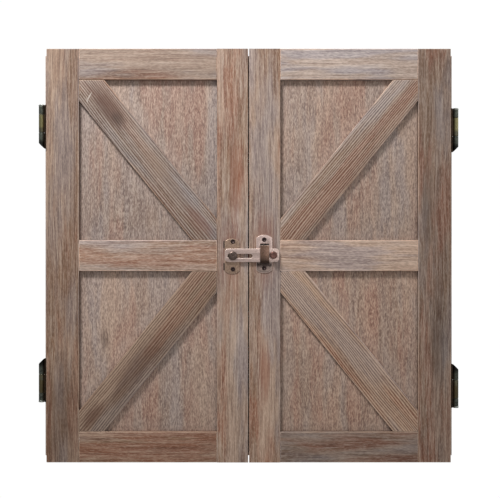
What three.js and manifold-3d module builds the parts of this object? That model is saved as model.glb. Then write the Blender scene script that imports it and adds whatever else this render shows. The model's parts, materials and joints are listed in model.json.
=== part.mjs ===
// A wall-hung dart board cabinet in weathered oak: a shallow case with two barn-style doors,
// four butt hinges, a swinging bar latch, and a bristle dart board hung inside.
// Millimetres, +Z up. The doors face -Y and the wall is the plane y = 0 behind the case.
// The origin is on the wall plane, straight behind the bull's eye.
import * as THREE from "three";
import { mergeVertices } from "three/addons/utils/BufferGeometryUtils.js";
import Module from "manifold-3d";

const wasm = await Module();
wasm.setup();

// ---------- driving dimensions ----------
const FIT_GAP = 0.2; // clearance left round pieces that sit in or on one another

// case
const CASE_WIDTH = 710;
const CASE_HEIGHT = 698;
const CASE_DEPTH = 80;
const CASE_BOARD = 15;
const RAIL_DEPTH = 12; // rails between the wall and the back panel
const RAIL_HEIGHT = 50;
const BATTEN_HEIGHT = 100;
const BACK_THICKNESS = 5;
const BACK_GROOVE = 5;

// doors
const DOORS_WIDTH = 696;
const DOOR_HEIGHT = 712;
const DOOR_THICKNESS = 19;
const DOOR_GAP = 2.5; // between the two doors
const OUTER_STILE = 56;
const INNER_STILE = 53;
const DOOR_RAIL = 53;
const PANEL_THICKNESS = 6;
const PANEL_RECESS = 8; // from the frame's front down to the panel
const DOOR_GROOVE = 8;
const BRACE_WIDTH = 56;
const BRACE_ANGLE = THREE.MathUtils.degToRad(51);
const BRACE_SETBACK = 0.8; // the brace's face behind the frame's face

// inside of the doors
const SCOREBOARD_THICKNESS = 3;
const SCOREBOARD_TOP = 315;
const SCOREBOARD_BOTTOM = -120;
const SCOREBOARD_LAP = 10; // how far it laps over the stiles
const RACK_LENGTH = 120;
const RACK_DEPTH = 36;
const RACK_THICKNESS = 18;
const RACK_TOP = -292;
const RACK_OUTER_X = 310;
const RACK_HOLES = 3;
const RACK_HOLE_RADIUS = 4.5;

// hinges
const LEAF_THICKNESS = 1.5;
const LEAF_GAP = 0.2; // between the two closed leaves
const BARREL_RADIUS = 5;
const BARREL_TO_CASE = 1;
const PIN_RADIUS = 2.4;
const PIN_HOLE_RADIUS = 2.65;
const PIN_HEAD_HEIGHT = 3;
const PIN_HEAD_RADIUS = 5.3;
const HINGE_LENGTH = 76.5;
const KNUCKLE_GAP = 0.5;
const OUTER_KNUCKLE_END = 16; // measured from the hinge's outer end
const MIDDLE_KNUCKLE_END = 48.5;
const INNER_KNUCKLE_END = 66.5; // the slanted tip runs on from here
const CASE_LEAF_REACH = 21; // from the pin's axis
const DOOR_LEAF_REACH = 38;
const LEAF_TO_AXIS = 6.5;
// the height of each hinge's middle, set by hand as on the real cabinet
const HINGE_HEIGHTS = {
  left: { upper: 224.8, lower: -217.2 },
  right: { upper: 218.6, lower: -227.1 },
};

// latch
const LATCH_PLATE = 1.5;
const LATCH_BASE = { x: -28.6, z: -1.2, width: 25, height: 60.4, rise: 4.8 }; // rise of the curved ends
const LATCH_BASE_SCREWS = [24.3, -23.2];
const KEEPER = { x: 26.8, z: 2.8, width: 27.5, height: 65.6, rise: 5.2 };
const KEEPER_SCREWS = [27.5, -21.5];
const STUD = { x: -27, z: -0.6, neck: 3.1, shoulder: 5, head: 7.7, headHeight: 2.8, tail: 5, play: 0.3 };
const BAR = { left: -41, right: 52.6, middle: 0.5, height: 23, thickness: 2.5, corner: 5 };
const BAR_STANDOFF = 1.3; // the bar's back in front of the latch plate
const SLOT = { left: -36, right: 6.5, halfHeight: 3.6 };
const STRAP = { left: 19.8, right: 35.3, top: 17.5, thickness: 2, bend: 4 };
const STRAP_PLAY = 0.6; // round the bar
const KNOB = { x: 42.7, z: 0.6, shank: 2.2, neck: 3, head: 6.4, height: 5.4, clearance: 0.5 };
const LATCH_SCREW = { head: 3.9, headHeight: 1.0, shank: 1.7, length: 11, seat: 0.05, point: 2 };

// dart board
const BOARD_RADIUS = 225.5;
const BOARD_THICKNESS = 38;
const BOARD_TO_BACK = 9.5; // room for the bracket
const BAND_THICKNESS = 1.2;
const BOARD_SEGMENTS = 72;
const SECTORS = 20;
const SPIDER_WIRE = 1.4;
const SPIDER_THICKNESS = 1.2;
const SPIDER_RINGS = [6.35, 15.9, 99, 107, 162, 170];
const NUMBER_RING = { inner: 181, outer: 217, wire: 2.4, thickness: 2 };
const HANGING_SCREW = { shank: 2.9, head: 7.5, headHeight: 2.4, length: 22, play: 0.6 };
const BRACKET = { halfWidth: 30, top: 24, bottom: -36, plate: 2, corner: 8 };
const BRACKET_CUP = { halfWidth: 16, bottom: -14, top: 18, wall: 2, slot: 3.6, toBoard: 1 };

// wall hangers
const KEYHOLE_SPACING = 406.4;
const KEYHOLE_PLATE = { width: 16, height: 42, thickness: 1.6, corner: 5 };
const KEYHOLE = { head: 4.8, neck: 2.4, rise: 12, drop: 5 };
const KEYHOLE_POCKET = { halfWidth: 6.5, bottom: -12, top: 14, depth: 8 };

// ---------- places worked out from them ----------
const caseHalf = CASE_WIDTH / 2;
const caseTop = CASE_HEIGHT / 2;
const insideHalf = caseHalf - CASE_BOARD;
const insideTop = caseTop - CASE_BOARD;
const backRear = -RAIL_DEPTH;
const backFront = backRear - BACK_THICKNESS;
const pinX = caseHalf + BARREL_TO_CASE + BARREL_RADIUS;
const pinY = -CASE_DEPTH - LEAF_THICKNESS - LEAF_GAP / 2;
const doorBack = pinY - LEAF_GAP / 2 - LEAF_THICKNESS;
const doorFront = doorBack - DOOR_THICKNESS;
const doorOuter = DOORS_WIDTH / 2;
const doorInner = DOOR_GAP / 2;
const doorTop = DOOR_HEIGHT / 2;
const openingOuter = doorOuter - OUTER_STILE;
const openingInner = doorInner + INNER_STILE;
const openingTop = doorTop - DOOR_RAIL;
const openingBottom = DOOR_RAIL / 2; // the top edge of the middle rail
const panelFront = doorFront + PANEL_RECESS;
const panelBack = panelFront + PANEL_THICKNESS;
const platesFront = doorFront - LATCH_PLATE;
const barBack = platesFront - BAR_STANDOFF;
const barFront = barBack - BAR.thickness;
const strapBack = barFront - STRAP_PLAY;
const strapFront = strapBack - STRAP.thickness;
const boardRear = backFront - BOARD_TO_BACK;
const boardFront = boardRear - BOARD_THICKNESS;

// ---------- geometry helpers ----------
const SIDES = { left: -1, right: 1 };
const LEVELS = { upper: 1, lower: -1 };

function toSolid(geometry) {
  const bare = geometry.clone();
  bare.deleteAttribute("normal");
  bare.deleteAttribute("uv");
  const merged = mergeVertices(bare, 1e-5);
  return new wasm.Manifold(new wasm.Mesh({
    numProp: 3,
    vertProperties: new Float32Array(merged.attributes.position.array),
    triVerts: new Uint32Array(merged.index.array),
  }));
}

function toGeometry(solid) {
  const mesh = solid.getMesh();
  const geometry = new THREE.BufferGeometry();
  geometry.setAttribute("position", new THREE.BufferAttribute(new Float32Array(mesh.vertProperties), 3));
  geometry.setIndex(new THREE.BufferAttribute(new Uint32Array(mesh.triVerts), 1));
  geometry.computeVertexNormals();
  return geometry;
}

// a block between two corners, given in any order
function block([x0, x1], [y0, y1], [z0, z1]) {
  const geometry = new THREE.BoxGeometry(Math.abs(x1 - x0), Math.abs(y1 - y0), Math.abs(z1 - z0));
  geometry.translate((x0 + x1) / 2, (y0 + y1) / 2, (z0 + z1) / 2);
  return toSolid(geometry);
}

// an outline drawn in X and Z, filled between two Y planes
function slab(shape, yBack, yFront, curveSegments = 6) {
  const geometry = new THREE.ExtrudeGeometry(shape, {
    depth: yBack - yFront,
    bevelEnabled: false,
    curveSegments,
  });
  geometry.rotateX(Math.PI / 2);
  geometry.translate(0, yBack, 0);
  return toSolid(geometry);
}

function roundedRectangle(x0, x1, z0, z1, radius) {
  const shape = new THREE.Shape();
  shape.moveTo(x0 + radius, z0);
  shape.lineTo(x1 - radius, z0);
  shape.absarc(x1 - radius, z0 + radius, radius, -Math.PI / 2, 0, false);
  shape.lineTo(x1, z1 - radius);
  shape.absarc(x1 - radius, z1 - radius, radius, 0, Math.PI / 2, false);
  shape.lineTo(x0 + radius, z1);
  shape.absarc(x0 + radius, z1 - radius, radius, Math.PI / 2, Math.PI, false);
  shape.lineTo(x0, z0 + radius);
  shape.absarc(x0 + radius, z0 + radius, radius, Math.PI, 1.5 * Math.PI, false);
  return shape;
}

// straight sides, and shallow arcs that rise beyond them at the top and the bottom
function arcEnded(x0, x1, z0, z1, rise) {
  const halfWidth = (x1 - x0) / 2;
  const middle = (x0 + x1) / 2;
  const radius = (halfWidth ** 2 + rise ** 2) / (2 * rise);
  const sweep = Math.asin(halfWidth / radius);
  const shape = new THREE.Shape();
  shape.moveTo(x0, z0 + rise);
  shape.absarc(middle, z0 + radius, radius, -Math.PI / 2 - sweep, -Math.PI / 2 + sweep, false);
  shape.lineTo(x1, z1 - rise);
  shape.absarc(middle, z1 - radius, radius, Math.PI / 2 - sweep, Math.PI / 2 + sweep, false);
  return shape;
}

// a solid of revolution about a line along Y; the profile is [radius, y] pairs from rear to front
function turnedAlongY(profile, x, z, segments = 24) {
  const points = profile.map(([radius, y]) => new THREE.Vector2(radius, y)).reverse();
  const geometry = new THREE.LatheGeometry(points, segments);
  geometry.translate(x, 0, z);
  return toSolid(geometry);
}

// a round bar along Y
function rodAlongY(radius, x, z, yBack, yFront, segments = 24) {
  const geometry = new THREE.CylinderGeometry(radius, radius, yBack - yFront, segments);
  geometry.translate(x, (yBack + yFront) / 2, z);
  return toSolid(geometry);
}

// a round bar along Z
function rodAlongZ(radius, x, y, z0, z1, segments = 24) {
  const geometry = new THREE.CylinderGeometry(radius, radius, Math.abs(z1 - z0), segments);
  geometry.rotateX(Math.PI / 2);
  geometry.translate(x, y, (z0 + z1) / 2);
  return toSolid(geometry);
}

// ---------- materials ----------
function finish(color, roughness, metalness = 0) {
  return () => new THREE.MeshStandardMaterial({ color, roughness, metalness });
}
const oakDoor = finish(0x94786a, 0.75);
const oakCase = finish(0x8d7262, 0.78);
const plywood = finish(0xa98f78, 0.8);
const slate = finish(0x23282a, 0.85);
const brass = finish(0x6c6552, 0.45, 0.9);
const copper = finish(0xa98d84, 0.42, 0.85);
const steel = finish(0xa3a6a8, 0.35, 0.95);
const blackSteel = finish(0x26262a, 0.5, 0.7);
const sisal = finish(0x2a2725, 0.95);

// ---------- the scene graph ----------
const cabinet = new THREE.Group();
const groups = {};
for (const name of ["case", "left_door", "right_door", "latch", "dart_board"]) {
  groups[name] = new THREE.Group();
  cabinet.add(groups[name]);
}

function add(groupName, name, solid, material) {
  const mesh = new THREE.Mesh(toGeometry(solid), material());
  mesh.name = name;
  groups[groupName].add(mesh);
}

// ---------- case ----------
function backGroove() {
  const reach = BACK_GROOVE;
  return block(
    [-insideHalf - reach, insideHalf + reach],
    [backRear, backFront],
    [-insideTop - reach, insideTop + reach],
  );
}

function caseBoards() {
  for (const [side, sign] of Object.entries(SIDES)) {
    const board = block([sign * insideHalf, sign * caseHalf], [0, -CASE_DEPTH], [-caseTop, caseTop]);
    add("case", `case_side_${side}`, board.subtract(backGroove()), oakCase);
  }
  for (const [name, sign] of [["case_top", 1], ["case_bottom", -1]]) {
    const board = block([-insideHalf, insideHalf], [0, -CASE_DEPTH], [sign * insideTop, sign * caseTop]);
    add("case", name, board.subtract(backGroove()), oakCase);
  }
}

function backPanel() {
  const reach = BACK_GROOVE - FIT_GAP;
  const panel = block(
    [-insideHalf - reach, insideHalf + reach],
    [backRear - FIT_GAP, backFront + FIT_GAP],
    [-insideTop - reach, insideTop + reach],
  );
  add("case", "back_panel", panel, plywood);
}

function keyholePlace(sign) {
  return [sign * KEYHOLE_SPACING / 2, insideTop - RAIL_HEIGHT / 2];
}

function hangingRail() {
  let rail = block([-insideHalf, insideHalf], [0, -RAIL_DEPTH], [insideTop - RAIL_HEIGHT, insideTop]);
  for (const sign of Object.values(SIDES)) {
    const [x, z] = keyholePlace(sign);
    const recess = roundedRectangle(
      x - KEYHOLE_PLATE.width / 2 - FIT_GAP,
      x + KEYHOLE_PLATE.width / 2 + FIT_GAP,
      z - KEYHOLE_PLATE.height / 2 - FIT_GAP,
      z + KEYHOLE_PLATE.height / 2 + FIT_GAP,
      KEYHOLE_PLATE.corner,
    );
    const pocket = block(
      [x - KEYHOLE_POCKET.halfWidth, x + KEYHOLE_POCKET.halfWidth],
      [1, -KEYHOLE_POCKET.depth],
      [z + KEYHOLE_POCKET.bottom, z + KEYHOLE_POCKET.top],
    );
    rail = rail.subtract(slab(recess, 1, -KEYHOLE_PLATE.thickness - FIT_GAP, 3));
    rail = rail.subtract(pocket);
  }
  add("case", "hanging_rail", rail, oakCase);
}

function plainRails() {
  const batten = block([-insideHalf, insideHalf], [0, -RAIL_DEPTH], [-BATTEN_HEIGHT / 2, BATTEN_HEIGHT / 2]);
  add("case", "centre_batten", batten, oakCase);
  const rail = block([-insideHalf, insideHalf], [0, -RAIL_DEPTH], [-insideTop, -insideTop + RAIL_HEIGHT]);
  add("case", "spacer_rail", rail, oakCase);
}

function keyholePlates() {
  for (const [side, sign] of Object.entries(SIDES)) {
    const [x, z] = keyholePlace(sign);
    const outline = roundedRectangle(
      x - KEYHOLE_PLATE.width / 2,
      x + KEYHOLE_PLATE.width / 2,
      z - KEYHOLE_PLATE.height / 2,
      z + KEYHOLE_PLATE.height / 2,
      KEYHOLE_PLATE.corner,
    );
    const low = z - KEYHOLE.drop;
    const through = [1, -KEYHOLE_PLATE.thickness - 1];
    const plate = slab(outline, 0, -KEYHOLE_PLATE.thickness, 3)
      .subtract(rodAlongY(KEYHOLE.head, x, low, ...through, 16))
      .subtract(block([x - KEYHOLE.neck, x + KEYHOLE.neck], through, [low, low + KEYHOLE.rise]))
      .subtract(rodAlongY(KEYHOLE.neck, x, low + KEYHOLE.rise, ...through, 12));
    add("case", `keyhole_plate_${side}`, plate, steel);
  }
}

// the cup is open at the top, so the board's hanging screw drops into it
function boardBracket() {
  const cupFront = boardRear + BRACKET_CUP.toBoard;
  const inner = BRACKET_CUP.halfWidth - BRACKET_CUP.wall;
  const plateFront = backFront - BRACKET.plate;
  const base = slab(
    roundedRectangle(-BRACKET.halfWidth, BRACKET.halfWidth, BRACKET.bottom, BRACKET.top, BRACKET.corner),
    backFront,
    plateFront,
    3,
  );
  const cup = block(
    [-BRACKET_CUP.halfWidth, BRACKET_CUP.halfWidth],
    [backFront, cupFront],
    [BRACKET_CUP.bottom, BRACKET_CUP.top],
  );
  const hollow = block(
    [-inner, inner],
    [plateFront, cupFront + BRACKET_CUP.wall],
    [BRACKET_CUP.bottom + BRACKET_CUP.wall, BRACKET.top],
  );
  const slot = block([-BRACKET_CUP.slot, BRACKET_CUP.slot], [plateFront, cupFront - 1], [0, BRACKET.top]);
  const slotFoot = rodAlongY(BRACKET_CUP.slot, 0, 0, plateFront, cupFront - 1, 16);
  const bracket = base.add(cup).subtract(hollow).subtract(slot).subtract(slotFoot);
  add("case", "board_bracket", bracket, steel);
}

// ---------- doors ----------
function screwHoles(places, tailPlaces = []) {
  const holes = places.map(([x, z]) => rodAlongY(
    LATCH_SCREW.shank + FIT_GAP,
    x,
    z,
    platesFront + LATCH_SCREW.length + FIT_GAP,
    platesFront - 1,
    12,
  ));
  for (const [x, z] of tailPlaces) {
    holes.push(rodAlongY(STUD.neck + FIT_GAP, x, z, platesFront + STUD.tail + FIT_GAP, platesFront - 1, 16));
  }
  return holes;
}

function stiles(side, sign, latchHoles) {
  const groove = block(
    [sign * (openingInner - DOOR_GROOVE), sign * (openingOuter + DOOR_GROOVE)],
    [panelBack, panelFront],
    [-doorTop - 1, doorTop + 1],
  );
  const outer = block([sign * openingOuter, sign * doorOuter], [doorBack, doorFront], [-doorTop, doorTop]);
  add(`${side}_door`, `${side}_outer_stile`, outer.subtract(groove), oakDoor);
  let inner = block([sign * doorInner, sign * openingInner], [doorBack, doorFront], [-doorTop, doorTop]);
  inner = inner.subtract(groove);
  for (const hole of latchHoles) {
    inner = inner.subtract(hole);
  }
  add(`${side}_door`, `${side}_inner_stile`, inner, oakDoor);
}

// a rail with stub tenons in the stiles' grooves, and grooves of its own for the panels
function doorRail(side, sign, name, low, high, grooveLow, grooveHigh) {
  const x0 = openingInner + FIT_GAP;
  const x1 = openingOuter - FIT_GAP;
  const tenonLow = low + (grooveLow ? DOOR_GROOVE : 0);
  const tenonHigh = high - (grooveHigh ? DOOR_GROOVE : 0);
  let rail = block([sign * x0, sign * x1], [doorBack, doorFront], [low, high]);
  if (grooveLow) {
    rail = rail.subtract(block(
      [sign * (x0 - 1), sign * (x1 + 1)],
      [panelBack, panelFront],
      [low - 1, low + DOOR_GROOVE],
    ));
  }
  if (grooveHigh) {
    rail = rail.subtract(block(
      [sign * (x0 - 1), sign * (x1 + 1)],
      [panelBack, panelFront],
      [high - DOOR_GROOVE, high + 1],
    ));
  }
  const tenon = block(
    [sign * (openingInner - DOOR_GROOVE + FIT_GAP), sign * (openingOuter + DOOR_GROOVE - FIT_GAP)],
    [panelBack - FIT_GAP, panelFront + FIT_GAP],
    [tenonLow, tenonHigh],
  );
  add(`${side}_door`, `${side}_${name}_rail`, rail.add(tenon), oakDoor);
}

function doorPanel(side, sign, level, levelSign) {
  const reach = DOOR_GROOVE - 2 * FIT_GAP;
  const panel = block(
    [sign * (openingInner - reach), sign * (openingOuter + reach)],
    [panelBack - FIT_GAP, panelFront + FIT_GAP],
    [levelSign * (openingBottom - reach), levelSign * (openingTop + reach)],
  );
  add(`${side}_door`, `${side}_${level}_panel`, panel, oakDoor);
}

// the diagonal runs from the outer corner beside the top or bottom rail to the inner corner
// beside the middle rail, cut to the opening at both ends
function brace(side, sign, level, levelSign) {
  const low = openingBottom + FIT_GAP;
  const high = openingTop - FIT_GAP;
  const near = openingInner + FIT_GAP;
  const far = openingOuter - FIT_GAP;
  const middleX = (near + far) / 2;
  const middleZ = (low + high) / 2;
  const halfRise = BRACE_WIDTH / 2 / Math.cos(BRACE_ANGLE);
  const halfRun = BRACE_WIDTH / 2 / Math.sin(BRACE_ANGLE);
  const slope = Math.tan(BRACE_ANGLE);
  const centreAtFar = middleZ + (far - middleX) * slope;
  const centreAtHigh = middleX + (high - middleZ) / slope;
  const footAtFar = centreAtFar - halfRise;
  const footAtHigh = centreAtHigh - halfRun;
  const corners = [
    [far, high],
    [footAtHigh, high],
    [near, low + high - footAtFar],
    [near, low],
    [near + far - footAtHigh, low],
    [far, footAtFar],
  ];
  const shape = new THREE.Shape(corners.map(([x, z]) => new THREE.Vector2(sign * x, levelSign * z)));
  const solid = slab(shape, panelFront, doorFront + BRACE_SETBACK);
  add(`${side}_door`, `${side}_${level}_brace`, solid, oakDoor);
}

function scoreboard(side, sign) {
  const plate = block(
    [sign * (openingInner - SCOREBOARD_LAP), sign * (openingOuter + SCOREBOARD_LAP)],
    [doorBack, doorBack + SCOREBOARD_THICKNESS],
    [SCOREBOARD_BOTTOM, SCOREBOARD_TOP],
  );
  add(`${side}_door`, `${side}_scoreboard`, plate, slate);
}

function dartRack(side, sign) {
  const inner = RACK_OUTER_X - RACK_LENGTH;
  const pitch = RACK_LENGTH / RACK_HOLES;
  let rack = block(
    [sign * inner, sign * RACK_OUTER_X],
    [doorBack, doorBack + RACK_DEPTH],
    [RACK_TOP - RACK_THICKNESS, RACK_TOP],
  );
  for (let i = 0; i < RACK_HOLES; i += 1) {
    const x = sign * (inner + pitch * (i + 0.5));
    const y = doorBack + RACK_DEPTH / 2;
    const hole = rodAlongZ(RACK_HOLE_RADIUS, x, y, RACK_TOP - RACK_THICKNESS - 1, RACK_TOP + 1, 16);
    rack = rack.subtract(hole);
  }
  add(`${side}_door`, `${side}_dart_rack`, rack, oakCase);
}

function door(side, sign) {
  const latchHoles = side === "left"
    ? screwHoles(LATCH_BASE_SCREWS.map((z) => [STUD.x, z]), [[STUD.x, STUD.z]])
    : screwHoles(KEEPER_SCREWS.map((z) => [KEEPER.x, z]));
  stiles(side, sign, latchHoles);
  doorRail(side, sign, "top", openingTop, doorTop, true, false);
  doorRail(side, sign, "middle", -openingBottom, openingBottom, true, true);
  doorRail(side, sign, "bottom", -doorTop, -openingTop, false, true);
  for (const [level, levelSign] of Object.entries(LEVELS)) {
    doorPanel(side, sign, level, levelSign);
    brace(side, sign, level, levelSign);
  }
  scoreboard(side, sign);
  dartRack(side, sign);
}

// ---------- hinges ----------
// distances along a hinge are measured from its outer end, the one away from the cabinet's middle
function hinge(side, sign, level, levelSign) {
  const outerEnd = HINGE_HEIGHTS[side][level] + levelSign * HINGE_LENGTH / 2;
  const along = (distance) => outerEnd - levelSign * distance;
  const axisX = sign * pinX;
  const fromAxis = (reach) => axisX - sign * reach;
  const knuckle = (start, end) => rodAlongZ(BARREL_RADIUS, axisX, pinY, along(start), along(end));
  const pinHole = rodAlongZ(PIN_HOLE_RADIUS, axisX, pinY, along(-1), along(INNER_KNUCKLE_END - 1), 16);
  const leafOverlap = 1;
  const web = (start, end, leafY) => block(
    [axisX, fromAxis(LEAF_TO_AXIS + leafOverlap)],
    leafY,
    [along(start), along(end)],
  );
  const leaf = (reach, leafY) => block(
    [fromAxis(LEAF_TO_AXIS), fromAxis(reach)],
    leafY,
    [along(headEnd), along(HINGE_LENGTH)],
  );
  const caseLeafY = [-CASE_DEPTH, -CASE_DEPTH - LEAF_THICKNESS];
  const doorLeafY = [doorBack, doorBack + LEAF_THICKNESS];
  const headEnd = PIN_HEAD_HEIGHT + KNUCKLE_GAP / 2;
  const middleStart = OUTER_KNUCKLE_END + KNUCKLE_GAP;
  const innerStart = MIDDLE_KNUCKLE_END + KNUCKLE_GAP;
  const prefix = `${side}_${level}_hinge`;

  // the inner knuckle ends in a tip that slants down towards the case
  const slantRun = HINGE_LENGTH - INNER_KNUCKLE_END;
  const slant = new THREE.Shape([
    new THREE.Vector2(axisX + sign * BARREL_RADIUS, along(INNER_KNUCKLE_END)),
    new THREE.Vector2(fromAxis(BARREL_RADIUS), along(HINGE_LENGTH)),
    new THREE.Vector2(fromAxis(BARREL_RADIUS), along(HINGE_LENGTH + slantRun)),
    new THREE.Vector2(axisX + sign * (BARREL_RADIUS + 1), along(HINGE_LENGTH + slantRun)),
    new THREE.Vector2(axisX + sign * (BARREL_RADIUS + 1), along(INNER_KNUCKLE_END - 1)),
  ]);
  const cutter = slab(slant, pinY + BARREL_RADIUS + 1, pinY - BARREL_RADIUS - 1);
  const caseLeaf = knuckle(headEnd, OUTER_KNUCKLE_END)
    .add(knuckle(innerStart, HINGE_LENGTH).subtract(cutter))
    .add(web(headEnd, OUTER_KNUCKLE_END, caseLeafY))
    .add(web(innerStart, INNER_KNUCKLE_END, caseLeafY))
    .add(leaf(CASE_LEAF_REACH, caseLeafY))
    .subtract(pinHole);
  add("case", `${prefix}_case_leaf`, caseLeaf, brass);

  const doorLeaf = knuckle(middleStart, MIDDLE_KNUCKLE_END)
    .add(web(middleStart, MIDDLE_KNUCKLE_END, doorLeafY))
    .add(leaf(DOOR_LEAF_REACH, doorLeafY))
    .subtract(pinHole);
  add(`${side}_door`, `${prefix}_door_leaf`, doorLeaf, brass);

  const pin = rodAlongZ(PIN_RADIUS, axisX, pinY, along(0), along(INNER_KNUCKLE_END - 2), 16)
    .add(rodAlongZ(PIN_HEAD_RADIUS, axisX, pinY, along(0), along(PIN_HEAD_HEIGHT)));
  add("case", `${prefix}_pin`, pin, brass);
}

// ---------- latch ----------
function latchPlate(place, screws, screwX, tails = []) {
  const outline = arcEnded(
    place.x - place.width / 2,
    place.x + place.width / 2,
    place.z - place.height / 2,
    place.z + place.height / 2,
    place.rise,
  );
  let plate = slab(outline, doorFront, platesFront);
  for (const hole of screwHoles(screws.map((z) => [screwX, z]), tails)) {
    plate = plate.subtract(hole);
  }
  return plate;
}

function latchBase() {
  const plate = latchPlate(LATCH_BASE, LATCH_BASE_SCREWS, STUD.x, [[STUD.x, STUD.z]]);
  add("left_door", "latch_base", plate, copper);
}

// the strap leaves the keeper plate under the bar and turns up in front of it
function latchKeeper() {
  const plate = latchPlate(KEEPER, KEEPER_SCREWS, KEEPER.x);
  const barFoot = BAR.middle - BAR.height / 2 - STRAP_PLAY;
  const foot = barFoot - STRAP.thickness;
  const inner = STRAP.bend - STRAP.thickness;
  const side = new THREE.Shape();
  side.moveTo(platesFront + LATCH_PLATE / 2, foot);
  side.lineTo(strapFront + STRAP.bend, foot);
  side.absarc(strapFront + STRAP.bend, foot + STRAP.bend, STRAP.bend, -Math.PI / 2, -Math.PI, true);
  side.lineTo(strapFront, STRAP.top);
  side.lineTo(strapBack, STRAP.top);
  side.lineTo(strapBack, barFoot + inner);
  side.absarc(strapBack + inner, barFoot + inner, inner, Math.PI, 1.5 * Math.PI, false);
  side.lineTo(platesFront + LATCH_PLATE / 2, barFoot);
  const geometry = new THREE.ExtrudeGeometry(side, {
    depth: STRAP.right - STRAP.left,
    bevelEnabled: false,
    curveSegments: 6,
  });
  geometry.rotateX(Math.PI / 2);
  geometry.rotateZ(Math.PI / 2);
  geometry.translate(STRAP.left, 0, 0);
  add("right_door", "latch_keeper", plate.add(toSolid(geometry)), copper);
}

function latchStud() {
  const headRear = barFront - STUD.play;
  const stud = rodAlongY(STUD.neck, STUD.x, STUD.z, platesFront + STUD.tail, barFront - 1)
    .add(rodAlongY(STUD.shoulder, STUD.x, STUD.z, platesFront - FIT_GAP / 2, barBack + FIT_GAP))
    .add(turnedAlongY(
      [
        [0, headRear],
        [STUD.head, headRear],
        [STUD.head, headRear - STUD.headHeight * 0.4],
        [STUD.head * 0.75, headRear - STUD.headHeight * 0.85],
        [0, headRear - STUD.headHeight],
      ],
      STUD.x,
      STUD.z,
    ));
  add("latch", "latch_stud", stud, copper);
}

function latchBar() {
  const low = BAR.middle - BAR.height / 2;
  const high = BAR.middle + BAR.height / 2;
  const outline = roundedRectangle(BAR.left, BAR.right, low, high, BAR.corner);
  const slot = roundedRectangle(
    SLOT.left,
    SLOT.right,
    STUD.z - SLOT.halfHeight,
    STUD.z + SLOT.halfHeight,
    SLOT.halfHeight - 0.01,
  );
  const hole = rodAlongY(KNOB.shank + FIT_GAP, KNOB.x, KNOB.z, barBack + 1, barFront - 1, 16);
  const bar = slab(outline, barBack, barFront).subtract(slab(slot, barBack + 1, barFront - 1)).subtract(hole);
  add("latch", "latch_bar", bar, copper);
}

// a mushroom: its neck passes beside the strap and its head stands in front of it
function latchKnob() {
  const neckFront = strapFront - KNOB.clearance;
  const shankEnd = barBack - FIT_GAP / 2;
  const shoulder = barFront - FIT_GAP / 2;
  const knob = turnedAlongY(
    [
      [0, shankEnd],
      [KNOB.shank, shankEnd],
      [KNOB.shank, shoulder],
      [KNOB.neck, shoulder],
      [KNOB.neck, neckFront],
      [KNOB.head * 0.8, neckFront],
      [KNOB.head, neckFront - KNOB.height * 0.3],
      [KNOB.head, neckFront - KNOB.height * 0.6],
      [KNOB.head * 0.75, neckFront - KNOB.height * 0.9],
      [0, neckFront - KNOB.height],
    ],
    KNOB.x,
    KNOB.z,
  );
  add("latch", "latch_knob", knob, copper);
}

function latchScrew(group, name, x, z) {
  const tip = platesFront + LATCH_SCREW.length;
  const seat = platesFront - LATCH_SCREW.seat;
  const screw = turnedAlongY(
    [
      [0, tip],
      [LATCH_SCREW.shank, tip - LATCH_SCREW.point],
      [LATCH_SCREW.shank, seat],
      [LATCH_SCREW.head, seat],
      [LATCH_SCREW.head * 0.7, seat - LATCH_SCREW.headHeight * 0.8],
      [0, seat - LATCH_SCREW.headHeight],
    ],
    x,
    z,
    16,
  );
  add(group, name, screw, copper);
}

function latch() {
  latchBase();
  latchKeeper();
  latchStud();
  latchBar();
  latchKnob();
  latchScrew("left_door", "latch_base_screw_upper", STUD.x, LATCH_BASE_SCREWS[0]);
  latchScrew("left_door", "latch_base_screw_lower", STUD.x, LATCH_BASE_SCREWS[1]);
  latchScrew("right_door", "keeper_screw_upper", KEEPER.x, KEEPER_SCREWS[0]);
  latchScrew("right_door", "keeper_screw_lower", KEEPER.x, KEEPER_SCREWS[1]);
}

// ---------- dart board ----------
function arcPoints(radius, from, to, steps) {
  return Array.from({ length: steps + 1 }, (_, i) => {
    const angle = from + (to - from) * i / steps;
    return new THREE.Vector2(radius * Math.cos(angle), radius * Math.sin(angle));
  });
}

// the windows of a flat wire web between two rings, one between each pair of spokes
function webWindows(inner, outer, count, wire) {
  const step = 2 * Math.PI / count;
  return Array.from({ length: count }, (_, i) => {
    const start = (i + 0.5) * step;
    const r0 = inner + wire / 2;
    const r1 = outer - wire / 2;
    const trim0 = wire / 2 / r0;
    const trim1 = wire / 2 / r1;
    return new THREE.Path([
      ...arcPoints(r1, start + trim1, start + step - trim1, 2),
      ...arcPoints(r0, start + step - trim0, start + trim0, 2),
    ]);
  });
}

function circle(radius, segments) {
  return arcPoints(radius, 0, 2 * Math.PI, segments).slice(0, segments);
}

function boardCore() {
  const radius = BOARD_RADIUS - BAND_THICKNESS - FIT_GAP;
  const holeEnd = boardRear - HANGING_SCREW.length - 1;
  const hole = rodAlongY(HANGING_SCREW.shank + FIT_GAP, 0, 0, boardRear + 1, holeEnd, 16);
  const core = rodAlongY(radius, 0, 0, boardRear, boardFront, BOARD_SEGMENTS).subtract(hole);
  add("dart_board", "board_core", core, sisal);
}

function boardBand() {
  const inner = rodAlongY(BOARD_RADIUS - BAND_THICKNESS, 0, 0, boardRear + 1, boardFront - 1, BOARD_SEGMENTS);
  const band = rodAlongY(BOARD_RADIUS, 0, 0, boardRear, boardFront, BOARD_SEGMENTS).subtract(inner);
  add("dart_board", "board_band", band, blackSteel);
}

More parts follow.
